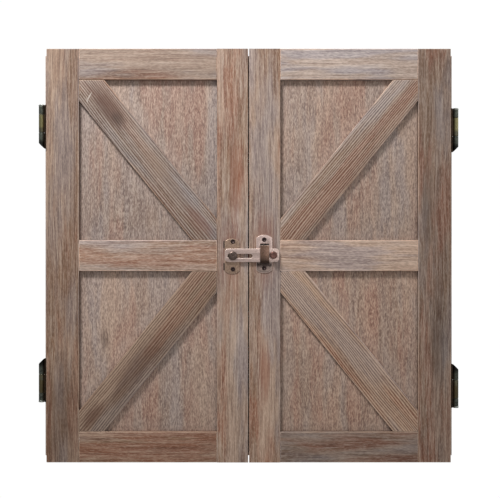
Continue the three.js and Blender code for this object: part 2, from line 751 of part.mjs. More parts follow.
function boardSpider() {
  const shape = new THREE.Shape(circle(SPIDER_RINGS.at(-1) + SPIDER_WIRE / 2, 2 * SECTORS));
  const bull = SPIDER_RINGS[0] - SPIDER_WIRE / 2;
  shape.holes.push(new THREE.Path(circle(bull, 12)));
  shape.holes.push(...webWindows(SPIDER_RINGS[0], SPIDER_RINGS[1], 4, SPIDER_WIRE));
  for (let i = 1; i < SPIDER_RINGS.length - 1; i += 1) {
    shape.holes.push(...webWindows(SPIDER_RINGS[i], SPIDER_RINGS[i + 1], SECTORS, SPIDER_WIRE));
  }
  const front = boardFront - FIT_GAP;
  add("dart_board", "board_spider", slab(shape, front, front - SPIDER_THICKNESS), steel);
}

function numberRing() {
  const { inner, outer, wire, thickness } = NUMBER_RING;
  const shape = new THREE.Shape(circle(outer + wire / 2, 2 * SECTORS));
  shape.holes.push(new THREE.Path(circle(inner - wire / 2, 2 * SECTORS)));
  shape.holes.push(...webWindows(inner, outer, SECTORS, wire));
  const front = boardFront - FIT_GAP;
  add("dart_board", "number_ring", slab(shape, front, front - thickness), steel);
}

function hangingScrew() {
  const cupFront = boardRear + BRACKET_CUP.toBoard;
  const headFront = cupFront + BRACKET_CUP.wall + HANGING_SCREW.play;
  const screw = rodAlongY(HANGING_SCREW.shank, 0, 0, headFront + 0.5, boardRear - HANGING_SCREW.length, 16)
    .add(rodAlongY(HANGING_SCREW.head, 0, 0, headFront + HANGING_SCREW.headHeight, headFront));
  add("dart_board", "hanging_screw", screw, steel);
}

function dartBoard() {
  boardCore();
  boardBand();
  boardSpider();
  numberRing();
  hangingScrew();
}

// ---------- assembly ----------
caseBoards();
backPanel();
hangingRail();
plainRails();
keyholePlates();
boardBracket();
for (const [side, sign] of Object.entries(SIDES)) {
  door(side, sign);
  for (const [level, levelSign] of Object.entries(LEVELS)) {
    hinge(side, sign, level, levelSign);
  }
}
latch();
dartBoard();

export default cabinet;
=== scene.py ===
"""Looks of the dart board cabinet: weathered oak doors, antiqued metal and a bristle dart board."""
import json
import math

import bmesh
import bpy
from mathutils import Matrix, Vector

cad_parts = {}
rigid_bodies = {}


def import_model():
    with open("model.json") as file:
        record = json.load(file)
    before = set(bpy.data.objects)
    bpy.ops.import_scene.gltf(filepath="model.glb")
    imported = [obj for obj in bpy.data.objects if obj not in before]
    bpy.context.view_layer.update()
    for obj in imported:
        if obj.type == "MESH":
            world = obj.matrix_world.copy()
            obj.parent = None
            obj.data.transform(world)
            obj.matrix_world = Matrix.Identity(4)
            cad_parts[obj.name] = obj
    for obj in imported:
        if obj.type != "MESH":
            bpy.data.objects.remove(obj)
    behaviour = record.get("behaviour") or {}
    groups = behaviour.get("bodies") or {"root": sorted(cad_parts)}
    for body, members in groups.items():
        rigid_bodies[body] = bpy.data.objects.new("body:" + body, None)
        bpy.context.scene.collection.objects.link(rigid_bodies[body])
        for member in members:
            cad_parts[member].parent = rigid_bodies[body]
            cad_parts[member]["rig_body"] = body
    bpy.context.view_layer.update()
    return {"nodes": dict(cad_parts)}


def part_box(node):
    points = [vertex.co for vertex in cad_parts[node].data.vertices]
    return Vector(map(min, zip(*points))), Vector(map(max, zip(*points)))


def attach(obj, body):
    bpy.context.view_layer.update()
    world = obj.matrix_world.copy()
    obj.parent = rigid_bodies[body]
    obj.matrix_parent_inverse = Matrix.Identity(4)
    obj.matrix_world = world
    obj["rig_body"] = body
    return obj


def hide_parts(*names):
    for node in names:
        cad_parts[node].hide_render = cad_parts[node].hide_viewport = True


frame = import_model()
NODES = frame["nodes"]

MM = 0.001
SIDES = {"left": -1, "right": 1}
LEVELS = {"upper": 1, "lower": -1}
BRACE_ANGLE = math.radians(51)
HALF_BRACE = 28 * MM
X, Y, Z = Vector((1, 0, 0)), Vector((0, 1, 0)), Vector((0, 0, 1))
QUARTER = math.pi / 2
UPRIGHT = Matrix.Rotation(QUARTER, 4, "X")


# ---------- shader graphs ----------
def linear(red, green, blue):
    """A colour given as 0 to 255 screen values, as the linear values a shader takes."""
    def channel(value):
        value /= 255
        return value / 12.92 if value <= 0.04045 else ((value + 0.055) / 1.055) ** 2.4
    return (channel(red), channel(green), channel(blue), 1)


class Graph:
    """A material's node tree, with one short method for each kind of node."""

    def __init__(self, name, roughness=0.6, metallic=0.0):
        self.material = bpy.data.materials.new(name)
        self.material.use_nodes = True
        self.nodes = self.material.node_tree.nodes
        self.links = self.material.node_tree.links
        self.shader = self.nodes["Principled BSDF"]
        self.shader.inputs["Roughness"].default_value = roughness
        self.shader.inputs["Metallic"].default_value = metallic

    def put(self, value, socket):
        if isinstance(value, bpy.types.NodeSocket):
            self.links.new(value, socket)
        else:
            socket.default_value = value

    def node(self, kind, inputs, **settings):
        """A new node with its settings, and a value or a link on each named or numbered input."""
        node = self.nodes.new(f"ShaderNode{kind}")
        for name, value in settings.items():
            setattr(node, name, value)
        for name, value in inputs.items():
            self.put(value, node.inputs[name])
        return node

    def place(self, along=Z, offset=(0, 0, 0)):
        """Object coordinates in metres, turned so that `along` is Z, then moved by offset."""
        source = self.node("TexCoord", {}).outputs["Object"]
        turn = along.rotation_difference(Z).to_euler()
        node = self.node("Mapping", {"Rotation": turn, "Location": offset, "Vector": source})
        return node.outputs["Vector"]

    def scaled(self, vector, scale):
        return self.node("Mapping", {"Scale": scale, "Vector": vector}).outputs["Vector"]

    def noise(self, vector, scale, detail=3.0, roughness=0.55, colour=False):
        place = self.scaled(vector, scale)
        inputs = {"Vector": place, "Scale": 1.0, "Detail": detail, "Roughness": roughness}
        return self.node("TexNoise", inputs).outputs["Color" if colour else "Fac"]

    def growth_lines(self, vector, spacing):
        """Even lines that run along Z, `spacing` apart, and wander a little."""
        place = self.scaled(vector, (1, 1, 0.05))
        wander = {"Distortion": 5.0, "Detail": 2.0, "Detail Scale": 0.6}
        node = self.node("TexWave", {"Vector": place, "Scale": 0.1 * math.pi / spacing, **wander})
        return node.outputs["Fac"]

    def ramp(self, value, low, high):
        """0 below low, 1 above high, smooth between."""
        inputs = {"Value": value, "From Min": low, "From Max": high}
        return self.node("MapRange", inputs, interpolation_type="SMOOTHSTEP").outputs["Result"]

    def math(self, operation, a, b=0.0):
        return self.node("Math", {0: a, 1: b}, operation=operation).outputs["Value"]

    def vector_math(self, operation, a, b):
        node = self.node("VectorMath", {0: a, 1: b}, operation=operation)
        return node.outputs["Value" if operation in ("LENGTH", "DOT_PRODUCT") else "Vector"]

    def times(self, a, b):
        return self.math("MULTIPLY", a, b)

    def plus(self, a, b):
        return self.math("ADD", a, b)

    def minus(self, a, b):
        return self.math("SUBTRACT", a, b)

    def around_zero(self, value, width):
        """A 0 to 1 value, moved and scaled to reach from -width / 2 to width / 2."""
        return self.times(self.minus(value, 0.5), width)

    def mix(self, share, a, b, blend="MIX"):
        inputs = {"Factor": share, 6: a, 7: b}
        return self.node("Mix", inputs, data_type="RGBA", blend_type=blend).outputs[2]

    def height_of(self, vector):
        return self.node("SeparateXYZ", {"Vector": vector}).outputs["Z"]

    def bent(self, vector, source, scale, reach):
        """The vector moved across the grain, half of `reach` each way, by noise over the source."""
        shift = self.noise(source, scale, 2.0, colour=True)
        shift = self.vector_math("SUBTRACT", shift, (0.5, 0.5, 0.5))
        return self.vector_math("ADD", vector, self.vector_math("MULTIPLY", shift, (reach, reach, 0)))

    def finish(self, colour, roughness=None, height=None, bump_distance=0.3 * MM):
        self.put(colour, self.shader.inputs["Base Color"])
        if roughness is not None:
            self.put(roughness, self.shader.inputs["Roughness"])
        if height is not None:
            bump = self.node("Bump", {"Distance": bump_distance, "Strength": 1.0, "Height": height})
            self.put(bump.outputs["Normal"], self.shader.inputs["Normal"])
        return self.material


# ---------- wood ----------
BROWN = linear(142, 108, 87)
RED_BROWN = linear(152, 98, 74)
TAN = linear(160, 128, 103)
DARK_BROWN = linear(66, 45, 34)
WASH = linear(178, 156, 140)
LILAC_WASH = linear(162, 146, 142)
PALE_WASH = linear(222, 205, 190)
POOLED_WASH = linear(186, 172, 167)
STAIN = linear(104, 70, 55)

# how each kind of board was cut and brushed: strength and spacing (per metre, across and along the grain)
# of its short pores, of its long streaks and of its raised growth lines, then how far its colour drifts
# from cool to warm
CUTS = {
    "panel": {"pores": (0.75, 820, 170), "streaks": (0.5, 620, 36), "lines": (0.2, 260, 12), "drift": 0.05},
    "stile": {"pores": (0.35, 900, 150), "streaks": (0.75, 850, 18), "lines": (0.35, 330, 5), "drift": 0.05},
    "rail": {"pores": (0.4, 850, 130), "streaks": (0.6, 800, 16), "lines": (0.3, 260, 5), "drift": 0.035},
    "brace": {"pores": (0.3, 800, 120), "streaks": (0.35, 720, 14), "lines": (0.8, 420, 4), "drift": 0.04},
}
BRACE_LINES = 3.8 * MM


def oak(name, along, seed, cut="stile", light=1.0, wash=0.5, red=0.5, cool=0.0, marks=(), pools=()):
    """Wire-brushed oak, limed with a thin white wash that stays in the pores and in the recesses.
    marks holds (centre, direction, half length, half width, colour, strength) for knots and scratches;
    pools holds (point, direction it faces) for edges where the wash gathered."""
    graph = Graph(name)
    kind = CUTS[cut]
    offset = (0.37 * seed % 3, 0.61 * seed % 3, 0.83 * seed % 3)
    straight = graph.place(along, offset)
    place = graph.bent(straight, straight, (9, 9, 2.2), 0.03)
    ragged_place = graph.bent(place, straight, (60, 60, 30), 0.006)

    def grain(where, name, detail):
        strength, across, length = kind[name]
        return graph.noise(where, (across, across, length), detail, 0.6), strength

    pores, pore_strength = grain(ragged_place, "pores", 1.0)
    streaks, streak_strength = grain(place, "streaks", 2.0)
    lines, line_strength = grain(place, "lines", 1.0)
    if cut == "brace":
        even = graph.growth_lines(place, BRACE_LINES)
        lines = graph.mix(0.42, lines, even)
    figure = graph.noise(place, (70, 70, 4.2), 3.0, 0.6)
    cloud = graph.noise(straight, (20, 20, 3.4), 3.0)
    patch = graph.noise(graph.vector_math("ADD", straight, (5.3, 1.7, 2.9)), (30, 30, 4.6), 3.0)

    base = graph.mix(graph.ramp(figure, 0.38, 0.62), BROWN, TAN)
    base = graph.mix(graph.times(graph.ramp(patch, 0.47, 0.56), red), base, RED_BROWN)
    washed = graph.mix(graph.ramp(patch, 0.42, 0.54), LILAC_WASH, WASH)
    cover = graph.plus(graph.ramp(cloud, 0.34, 0.66), wash - 0.55)
    colour = graph.mix(graph.ramp(cover, 0.1, 0.95), base, washed)
    if pools:
        spread = graph.around_zero(cloud, 0.06)
    for point, facing in pools:
        away = graph.vector_math("DOT_PRODUCT", graph.vector_math("SUBTRACT", graph.place(), point), facing)
        gathered = graph.minus(1.0, graph.ramp(graph.plus(away, spread), 0.0, 0.026))
        colour = graph.mix(graph.times(gathered, 0.42), colour, POOLED_WASH)

    for detail, strength, spread in [
        (streaks, streak_strength, 0.15), (lines, line_strength, 0.12), (pores, pore_strength, 0.15),
    ]:
        pale = graph.times(graph.ramp(detail, 0.5, 0.5 + spread), 0.62 * strength)
        dark = graph.times(graph.ramp(detail, 0.5, 0.5 - spread), 0.5 * strength)
        colour = graph.mix(pale, colour, PALE_WASH)
        colour = graph.mix(dark, colour, DARK_BROWN)
    for centre, direction, half_length, half_width, paint, strength in marks:
        bearing = direction.rotation_difference(Z)
        offset_place = graph.vector_math("SUBTRACT", graph.place(direction), bearing @ centre)
        shape = (1 / half_width, 0.2 / half_width, 1 / half_length)
        squeezed = graph.vector_math("MULTIPLY", offset_place, shape)
        distance = graph.vector_math("LENGTH", squeezed, (0, 0, 0))
        ragged = graph.plus(distance, graph.around_zero(streaks, 0.9))
        core = graph.minus(1.0, graph.ramp(ragged, 0.25, 1.0))
        colour = graph.mix(graph.times(core, strength), colour, paint)

    def tint(drift):
        red_share = 1.05 - cool + drift
        blue_share = 0.925 + cool - drift * 0.8
        return (red_share * light, 0.975 * light, blue_share * light, 1)

    tints = graph.mix(graph.ramp(patch, 0.35, 0.65), tint(-0.6 * kind["drift"]), tint(kind["drift"]))
    colour = graph.mix(1.0, colour, tints, "MULTIPLY")

    height = graph.plus(graph.times(streaks, 0.4), graph.times(pores, 0.4))
    height = graph.plus(height, graph.times(lines, line_strength))
    rough = graph.plus(graph.times(pores, 0.25), 0.56)
    return graph.finish(colour, rough, height, 0.6 * MM)


# ---------- other materials ----------
def metal(name, base, tarnish, bands=(), roughness=0.36, brushed=None, metallic=0.9, worn=0.8):
    """Antiqued metal, darker where the tarnish was left. bands holds (height, half length, softness, colour)
    along Z, mostly painted shade and painted highlight. Colours are 0 to 255 screen values."""
    graph = Graph(name, metallic=metallic)
    place = graph.place()
    blotch = graph.noise(place, (320, 320, 320), 4.0, 0.55)
    speck = graph.noise(graph.vector_math("ADD", place, (1.3, 2.1, 0.7)), (900, 900, 900), 2.0)
    tarnish = linear(*tarnish)
    colour = graph.mix(graph.times(graph.ramp(blotch, 0.45, 0.75), worn), linear(*base), tarnish)
    for height, half_length, softness, paint in bands:
        above = graph.math("ABSOLUTE", graph.minus(graph.height_of(place), height))
        ragged = graph.plus(above, graph.around_zero(blotch, 0.01))
        share = graph.minus(1.0, graph.ramp(ragged, half_length - softness, half_length + softness))
        colour = graph.mix(graph.times(share, 0.9), colour, linear(*paint))
    colour = graph.mix(graph.times(graph.ramp(speck, 0.58, 0.72), 0.5), colour, tarnish)
    rough = graph.plus(graph.times(blotch, 0.3), roughness - 0.15)
    height = graph.plus(graph.times(speck, 0.3), graph.times(blotch, 0.4))
    if brushed:
        lines = graph.noise(graph.place(brushed), (2600, 2600, 40), 2.0)
        rough = graph.plus(rough, graph.around_zero(lines, 0.25))
        height = graph.plus(height, graph.times(lines, 0.4))
    return graph.finish(colour, rough, height, 0.12 * MM)


def dark_bronze(name):
    return metal(name, (74, 60, 58), (34, 27, 28), roughness=0.4)


def zinc(name):
    return metal(name, (178, 180, 180), (128, 130, 132), roughness=0.38, brushed=Z)


def galvanised_wire(name):
    return metal(name, (196, 198, 200), (140, 142, 144), roughness=0.3)


def black_paint(name):
    """Satin black over steel, with dust and fine scratches round the band."""
    graph = Graph(name, metallic=0.3)
    place = graph.place()
    dust = graph.noise(place, (60, 60, 60), 4.0)
    scratch = graph.noise(place, (90, 1800, 90), 2.0)
    colour = graph.mix(graph.ramp(dust, 0.5, 0.75), linear(26, 26, 28), linear(50, 48, 47))
    colour = graph.mix(graph.times(graph.ramp(scratch, 0.66, 0.74), 0.5), colour, linear(96, 94, 92))
    rough = graph.plus(graph.times(dust, 0.35), 0.25)
    return graph.finish(colour, rough, scratch, 0.08 * MM)


def chalkboard(name):
    """Matt blackboard paint with wiped chalk left in broad strokes."""
    graph = Graph(name)
    place = graph.place()
    wiped = graph.noise(graph.place(Vector((1, 0, 0.4)).normalized()), (26, 26, 5), 4.0, 0.6)
    cloud = graph.noise(place, (8, 8, 8), 3.0)
    grit = graph.noise(place, (1500, 1500, 1500), 2.0)
    share = graph.times(graph.ramp(wiped, 0.42, 0.72), graph.ramp(cloud, 0.35, 0.65))
    colour = graph.mix(graph.times(share, 0.35), linear(38, 43, 43), linear(150, 154, 152))
    colour = graph.mix(graph.times(graph.ramp(grit, 0.55, 0.75), 0.25), colour, linear(120, 124, 122))
    rough = graph.plus(graph.times(grit, 0.2), 0.72)
    return graph.finish(colour, rough, grit, 0.15 * MM)


def chalk(name):
    graph = Graph(name)
    broken = graph.noise(graph.place(), (900, 900, 900), 2.0)
    colour = graph.mix(graph.ramp(broken, 0.4, 0.62), linear(120, 124, 122), linear(222, 222, 216))
    return graph.finish(colour, 0.95, broken, 0.1 * MM)


def sisal(name, dye):
    """The cut ends of bristle fibres, dyed, with a few paler ends and the small pits that darts leave."""
    graph = Graph(name)
    place = graph.place()
    fibre = graph.noise(place, (1500, 300, 1500), 2.0, 0.7)
    tuft = graph.noise(place, (240, 60, 240), 3.0)
    pit = graph.noise(graph.vector_math("ADD", place, (0.7, 0.1, 0.4)), (420, 60, 420), 1.0)
    pale = tuple(min(1.0, value * 1.6 + 0.03) for value in dye[:3]) + (1,)
    deep = tuple(value * 0.35 for value in dye[:3]) + (1,)
    colour = graph.mix(graph.ramp(fibre, 0.42, 0.62), dye, pale)
    colour = graph.mix(graph.times(graph.ramp(tuft, 0.5, 0.72), 0.6), colour, deep)
    colour = graph.mix(graph.times(graph.ramp(pit, 0.68, 0.76), 0.85), colour, deep)
    rough = graph.plus(graph.times(fibre, 0.15), 0.8)
    height = graph.minus(fibre, graph.ramp(pit, 0.66, 0.76))
    return graph.finish(colour, rough, height, 0.3 * MM)


# ---------- mesh helpers ----------
WELD = 1e-7  # points closer than this are one
FLAT_BELOW = math.radians(1)
SMOOTH_BELOW = math.radians(35)
EASED_ABOVE = math.radians(40)


def new_piece(name, mesh, body, materials):
    piece = bpy.data.objects.new(name, mesh)
    bpy.context.scene.collection.objects.link(piece)
    for material in materials:
        mesh.materials.append(material)
    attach(piece, body)
    return piece


def stand_for(node, mesh, materials):
    """A finished mesh in place of one CAD node, with that node's body."""
    piece = new_piece(f"{node}_piece", mesh, NODES[node]["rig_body"], materials)
    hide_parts(node)
    return piece


def build(node, shapes, *materials):
    """Closed shells, joined to stand in place of one CAD node."""
    return stand_for(node, joined(node, shapes), materials)


def centre_of(node):
    low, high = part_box(node)
    return (low + high) / 2


def smooth(mesh):
    for polygon in mesh.polygons:
        polygon.use_smooth = True
    mesh.set_sharp_from_angle(angle=SMOOTH_BELOW)


def refined(node, materials, ease, chosen=None):
    """A copy of a CAD node's mesh with its sharp edges eased, standing for the node. The last material is
    for the eased edges."""
    shape = bmesh.new()
    shape.from_mesh(NODES[node].data)
    bmesh.ops.remove_doubles(shape, verts=shape.verts, dist=10 * WELD)
    bmesh.ops.dissolve_limit(shape, angle_limit=FLAT_BELOW, verts=shape.verts, edges=shape.edges)
    sharp = [edge for edge in shape.edges if edge.is_manifold and edge.calc_face_angle() > EASED_ABOVE]
    if chosen:
        sharp = [edge for edge in sharp if chosen(edge)]
    for face in shape.faces:
        face.material_index = 0
    bmesh.ops.bevel(
        shape, geom=sharp, offset=ease, segments=3, profile=0.5, affect="EDGES", clamp_overlap=True,
        material=len(materials) - 1,
    )
    mesh = bpy.data.meshes.new(f"{node}_piece")
    shape.to_mesh(mesh)
    shape.free()
    smooth(mesh)
    return stand_for(node, mesh, materials)


def on_two_faces(node):
    """A test for edges that lie on the board's front and back planes, which leaves out grooves and tenons."""
    low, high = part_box(node)

    def test(edge):
        return all(min(abs(v.co.y - low.y), abs(v.co.y - high.y)) < 100 * WELD for v in edge.verts)
    return test


def joined(name, shapes):
    """One mesh from several bmeshes, each a closed shell."""
    whole = bpy.data.meshes.new(name)
    total = bmesh.new()
    for shape in shapes:
        part = bpy.data.meshes.new(f"{name}_part")
        shape.to_mesh(part)
        shape.free()
        total.from_mesh(part)
        bpy.data.meshes.remove(part)
    total.to_mesh(whole)
    total.free()
    smooth(whole)
    return whole


def filleted(profile, radius, steps=3):
    """An open run of points with each inner corner rounded."""
    points = [Vector(point) for point in profile]
    result = [points[0]]
    for before, corner, after in zip(points, points[1:], points[2:]):
        reach = min(radius, (before - corner).length * 0.45, (after - corner).length * 0.45)
        start = corner + (before - corner).normalized() * reach
        end = corner + (after - corner).normalized() * reach
        for step in range(steps + 1):
            share = step / steps
            result.append(start.lerp(corner, share).lerp(corner.lerp(end, share), share))
    result.append(points[-1])
    return result


def around(radius, height, segments):
    """A circle of points about Z, or the one point on it."""
    if radius < WELD:
        return [Vector((0, 0, height))]
    return [Vector((point.x, point.y, height)) for point in circle((0, 0), radius, segments)]


def loft(shape, rows, segments, closed=False):
    """Faces between each row of points and the next; a row can be a single point."""
    pairs = list(zip(rows, rows[1:])) + ([(rows[-1], rows[0])] if closed else [])
    for lower, upper in pairs:
        for i in range(segments):
            j = (i + 1) % segments
            below = [lower[i % len(lower)], lower[j % len(lower)]]
            above = [upper[j % len(upper)], upper[i % len(upper)]]
            unique = list(dict.fromkeys(below + above))
            if len(unique) > 2:
                shape.faces.new(unique)
    bmesh.ops.recalc_face_normals(shape, faces=shape.faces)
    return shape


def turned(profile, place, facing, segments=48, closed=False):
    """A solid of revolution. The profile is (radius, height) pairs along `facing`, on the axis at both ends,
    or closed on itself for a ring."""
    shape = bmesh.new()
    turn = Z.rotation_difference(facing)
    rows = [
        [shape.verts.new(place + turn @ point) for point in around(radius, height, segments)]
        for radius, height in profile
    ]
    return loft(shape, rows, segments, closed)


def arc(centre, radius, start, end, steps):
    return [
        Vector((centre[0] + radius * math.cos(a), centre[1] + radius * math.sin(a)))
        for a in (start + (end - start) * i / steps for i in range(steps + 1))
    ]


def circle(centre, radius, steps=32):
    return arc(centre, radius, 0, 2 * math.pi * (1 - 1 / steps), steps - 1)


def rounded_box(x0, x1, z0, z1, radius, steps=6):
    left, right, low, high = x0 + radius, x1 - radius, z0 + radius, z1 - radius
    points = []
    for i, corner in enumerate([(right, low), (right, high), (left, high), (left, low)]):
        points += arc(corner, radius, (i - 1) * QUARTER, i * QUARTER, steps)
    return points


def arc_ended(x0, x1, z0, z1, rise, steps=14):
    """Straight sides with shallow arcs beyond them at the top and the bottom."""
    half = (x1 - x0) / 2
    middle = (x0 + x1) / 2
    radius = (half ** 2 + rise ** 2) / (2 * rise)
    sweep = math.asin(half / radius)
    lower = arc((middle, z0 + radius), radius, -QUARTER - sweep, -QUARTER + sweep, steps)
    return lower + arc((middle, z1 - radius), radius, QUARTER - sweep, QUARTER + sweep, steps)


def shell_of(curve, to_world):
    """The solid that a curve or a text object fills, moved into place."""
    holder = bpy.data.objects.new("holder", curve)
    bpy.context.scene.collection.objects.link(holder)
    mesh = bpy.data.meshes.new_from_object(holder.evaluated_get(bpy.context.evaluated_depsgraph_get()))
    bpy.data.objects.remove(holder)
    bpy.data.curves.remove(curve)
    mesh.transform(to_world)
    shape = bmesh.new()
    shape.from_mesh(mesh)
    bpy.data.meshes.remove(mesh)
    bmesh.ops.remove_doubles(shape, verts=shape.verts, dist=WELD)
    return shape


def pressed(outline, holes, back, front, ease, to_world=None, material=0, rim=None):
    """A flat piece with eased edges. The outline and its holes are drawn in X and Z and filled from y = back
    to y = front; to_world can turn the finished piece. rim is the material of its edges, where it differs."""
    curve = bpy.data.curves.new("pressed", "CURVE")
    curve.dimensions = "2D"
    curve.fill_mode = "BOTH"
    curve.extrude = abs(back - front) / 2 - ease
    curve.bevel_depth = ease
    curve.bevel_resolution = 2
    curve.offset = -ease
    for points in [outline] + [list(reversed(hole)) for hole in holes]:
        spline = curve.splines.new("POLY")
        spline.points.add(len(points) - 1)
        for target, point in zip(spline.points, points):
            target.co = (point[0], point[1], 0, 1)
        spline.use_cyclic_u = True
    shape = shell_of(curve, Matrix.Translation((0, (back + front) / 2, 0)) @ UPRIGHT)
    bmesh.ops.dissolve_degenerate(shape, dist=WELD, edges=shape.edges)
    bmesh.ops.recalc_face_normals(shape, faces=shape.faces)
    for face in shape.faces:
        is_rim = rim is not None and abs(face.normal.y) < 0.97
        face.material_index = rim if is_rim else material
    if to_world:
        shape.transform(to_world)
    return shape


def tube(points, radius, closed=False):
    """A round wire along a run of points that lies in a plane of constant y."""
    sides = 8
    shape = bmesh.new()
    rows = []
    count = len(points)
    for i, point in enumerate(points):
        before = points[i - 1] if i or closed else point
        after = points[(i + 1) % count] if i + 1 < count or closed else point
        across = (after - before).normalized().cross(Y)
        spokes = circle((0, 0), radius, sides)
        rows.append([shape.verts.new(point + spoke.x * across + spoke.y * Y) for spoke in spokes])
    if not closed:
        shape.faces.new(rows[0])
        shape.faces.new(rows[-1])
    return loft(shape, rows, sides, closed)


def screw(place, facing, head, rise, spin=0.0, sink=0.0):
    """A cross-slotted screw head, domed to `rise` above the surface, with the slot pressed into it."""
    slot = head * 0.2
    reach = head * 0.62
    segments = 32
    shape = bmesh.new()
    turn = Z.rotation_difference(facing) @ Matrix.Rotation(spin, 3, "Z").to_quaternion()
    rings = []
    for share in (0.0, 0.12, 0.24, 0.36, 0.48, 0.6, 0.72, 0.84, 0.94, 1.0):
        ring = around(head * share, rise * math.sqrt(1 - share ** 2 * 0.96) - sink, segments)
        for point in ring:
            near, far = sorted((abs(point.x), abs(point.y)))
            if near < slot and far < reach:
                point.z -= 0.375 * head * (1 - far / reach) + 0.25 * MM
        rings.append(ring)
    rings.append(around(head, -0.3 * MM - sink, segments))
    rings.append(around(0, -0.9 * head - sink, segments))
    rows = [[shape.verts.new(place + turn @ point) for point in ring] for ring in rings]
    return loft(shape, rows, segments)


# ---------- doors ----------
def brace_direction(sign, level_sign):
    return Vector((sign * math.cos(BRACE_ANGLE), 0, level_sign * math.sin(BRACE_ANGLE)))


# a paler finish for eased edges: partly wear, partly painted highlight where the edges catch the light
def worn_edge(name, along, seed, light):
    return oak(name, along, seed, "stile", 1.4 * light, 1.0, 0.2)


def panel_pools(node, side_sign, level_sign):
    """Where the wash gathered: the edges of a panel's opening and both edges of the brace across it."""
    brace = node.replace("panel", "brace")
    low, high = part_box(brace)
    along = brace_direction(side_sign, level_sign)
    across = Vector((-along.z, 0, along.x))
    brace_edges = [(centre_of(brace) + across * way * HALF_BRACE, across * way) for way in (1, -1)]
    return [(low, X), (high, -X), (low, Z)] + brace_edges


# knots, stains and a scratch: shares of the board's width and height from its lower left corner, turn from
# the grain in degrees, half length and half width in millimetres, colour and strength
BOARD_MARKS = {
    "left_upper_brace": [
        (0.205, 0.835, 0, 70, 26, STAIN, 0.75),
        (0.284, 0.759, 0, 20, 12, DARK_BROWN, 0.5),
        (0.074, 0.895, 69, 12, 1.6, PALE_WASH, 0.95),
        (0.06, 0.87, 25, 6, 1.3, PALE_WASH, 0.8),
        (0.88, 0.11, 0, 50, 18, RED_BROWN, 0.5),
        (0.62, 0.40, 0, 90, 18, TAN, 0.45),
    ],
    "left_lower_brace": [
        (0.42, 0.40, 0, 110, 26, STAIN, 0.5),
        (0.1, 0.1, 0, 40, 16, STAIN, 0.6),
    ],
    "left_lower_panel": [(0.2, 0.57, 0, 26, 9, DARK_BROWN, 0.45)],
    "left_outer_stile": [(0.4, 0.1, 0, 150, 60, DARK_BROWN, 0.35)],
    "right_outer_stile": [
        (0.6, 0.3, 0, 120, 22, DARK_BROWN, 0.4),
        (0.3, 0.62, 0, 90, 16, DARK_BROWN, 0.3),
    ],
    "right_inner_stile": [
        (0.5, 0.22, 0, 70, 14, RED_BROWN, 0.5),
        (0.5, 0.52, 0, 90, 26, RED_BROWN, 0.5),
    ],
    "left_inner_stile": [
        (0.6, 0.68, 0, 110, 16, RED_BROWN, 0.5),
        (0.45, 0.5, 0, 80, 26, RED_BROWN, 0.5),
    ],
}


def mark(node, grain, across, up, turn, half_length, half_width, paint, strength):
    low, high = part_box(node)
    centre = Vector((low.x + (high.x - low.x) * across, low.y, low.z + (high.z - low.z) * up))
    direction = Matrix.Rotation(math.radians(turn), 3, "Y") @ grain
    return centre, direction, half_length * MM, half_width * MM, paint, strength


BOARD_EASE = 1.2 * MM
CASE_EASE = 0.9 * MM
MEETING_EASE = 0.6 * MM  # of the two stiles that meet in the middle
MEETING_SWELL = 0.35 * MM


def door_boards():
    # each board's grain and cut, then its brightness, wash, redness and coolness on the left and right doors
    # the brightness is partly each board's own tone and partly painted light, which falls off towards the
    # bottom
    boards = [
        ("outer_stile", Z, "stile", (0.74, 0.40, 0.7, -0.03), (0.65, 0.36, 0.7, 0.03)),
        ("inner_stile", Z, "stile", (0.93, 0.50, 0.6, 0.02), (0.92, 0.55, 0.7, 0.0)),
        ("top_rail", X, "rail", (0.94, 0.62, 0.6, 0.05), (1.23, 0.95, 0.1, 0.10)),
        ("middle_rail", X, "rail", (1.18, 0.50, 0.4, 0.07), (1.13, 0.66, 0.4, 0.01)),
        ("bottom_rail", X, "rail", (0.70, 0.28, 0.7, -0.03), (0.62, 0.30, 0.7, 0.05)),
        ("upper_panel", Z, "panel", (0.93, 0.50, 0.9, 0.02), (0.88, 0.52, 0.9, -0.01)),
        ("lower_panel", Z, "panel", (0.87, 0.48, 0.9, -0.01), (0.82, 0.40, 1.0, -0.04)),
        ("upper_brace", None, "brace", (0.85, 0.58, 0.4, 0.09), (0.90, 0.46, 0.6, 0.03)),
        ("lower_brace", None, "brace", (0.60, 0.44, 0.6, -0.05), (0.88, 0.50, 0.6, -0.06)),
    ]
    seed = 3
    for side, sign in SIDES.items():
        for part, along, cut, left, right in boards:
            seed += 5
            node = f"{side}_{part}"
            level_sign = LEVELS.get(part.split("_")[0])
            grain = along or brace_direction(sign, level_sign)
            light, wash, red, cool = left if side == "left" else right
            pools = panel_pools(node, sign, level_sign) if cut == "panel" else ()
            marks = [mark(node, grain, *values) for values in BOARD_MARKS.get(node, [])]
            face = oak(f"{node}_oak", grain, seed, cut, light, wash, red, cool, marks, pools)
            edge = worn_edge(f"{node}_edge", grain, seed, light)
            meets = part == "inner_stile"
            piece = refined(node, [face, edge], MEETING_EASE if meets else BOARD_EASE, on_two_faces(node))
            if meets:
                swell(piece.data, sign)


def swell(mesh, sign):
    """Moves a door's meeting edge a little into the gap between the doors, as raised grain does."""
    for vertex in mesh.vertices:
        if abs(vertex.co.x) < 3 * MM:
            vertex.co.x -= sign * MEETING_SWELL


def case_boards():
    seed = 160
    for node, along in [
        ("case_side_left", Z), ("case_side_right", Z), ("case_top", X), ("case_bottom", X),
        ("hanging_rail", X), ("centre_batten", X), ("spacer_rail", X),
        ("left_dart_rack", X), ("right_dart_rack", X),
    ]:
        seed += 7
        face = oak(f"{node}_oak", along, seed, "stile", 0.8, 0.42, 0.5)
        edge = worn_edge(f"{node}_edge", along, seed, 0.85)
        refined(node, [face, edge], CASE_EASE, on_two_faces(node))


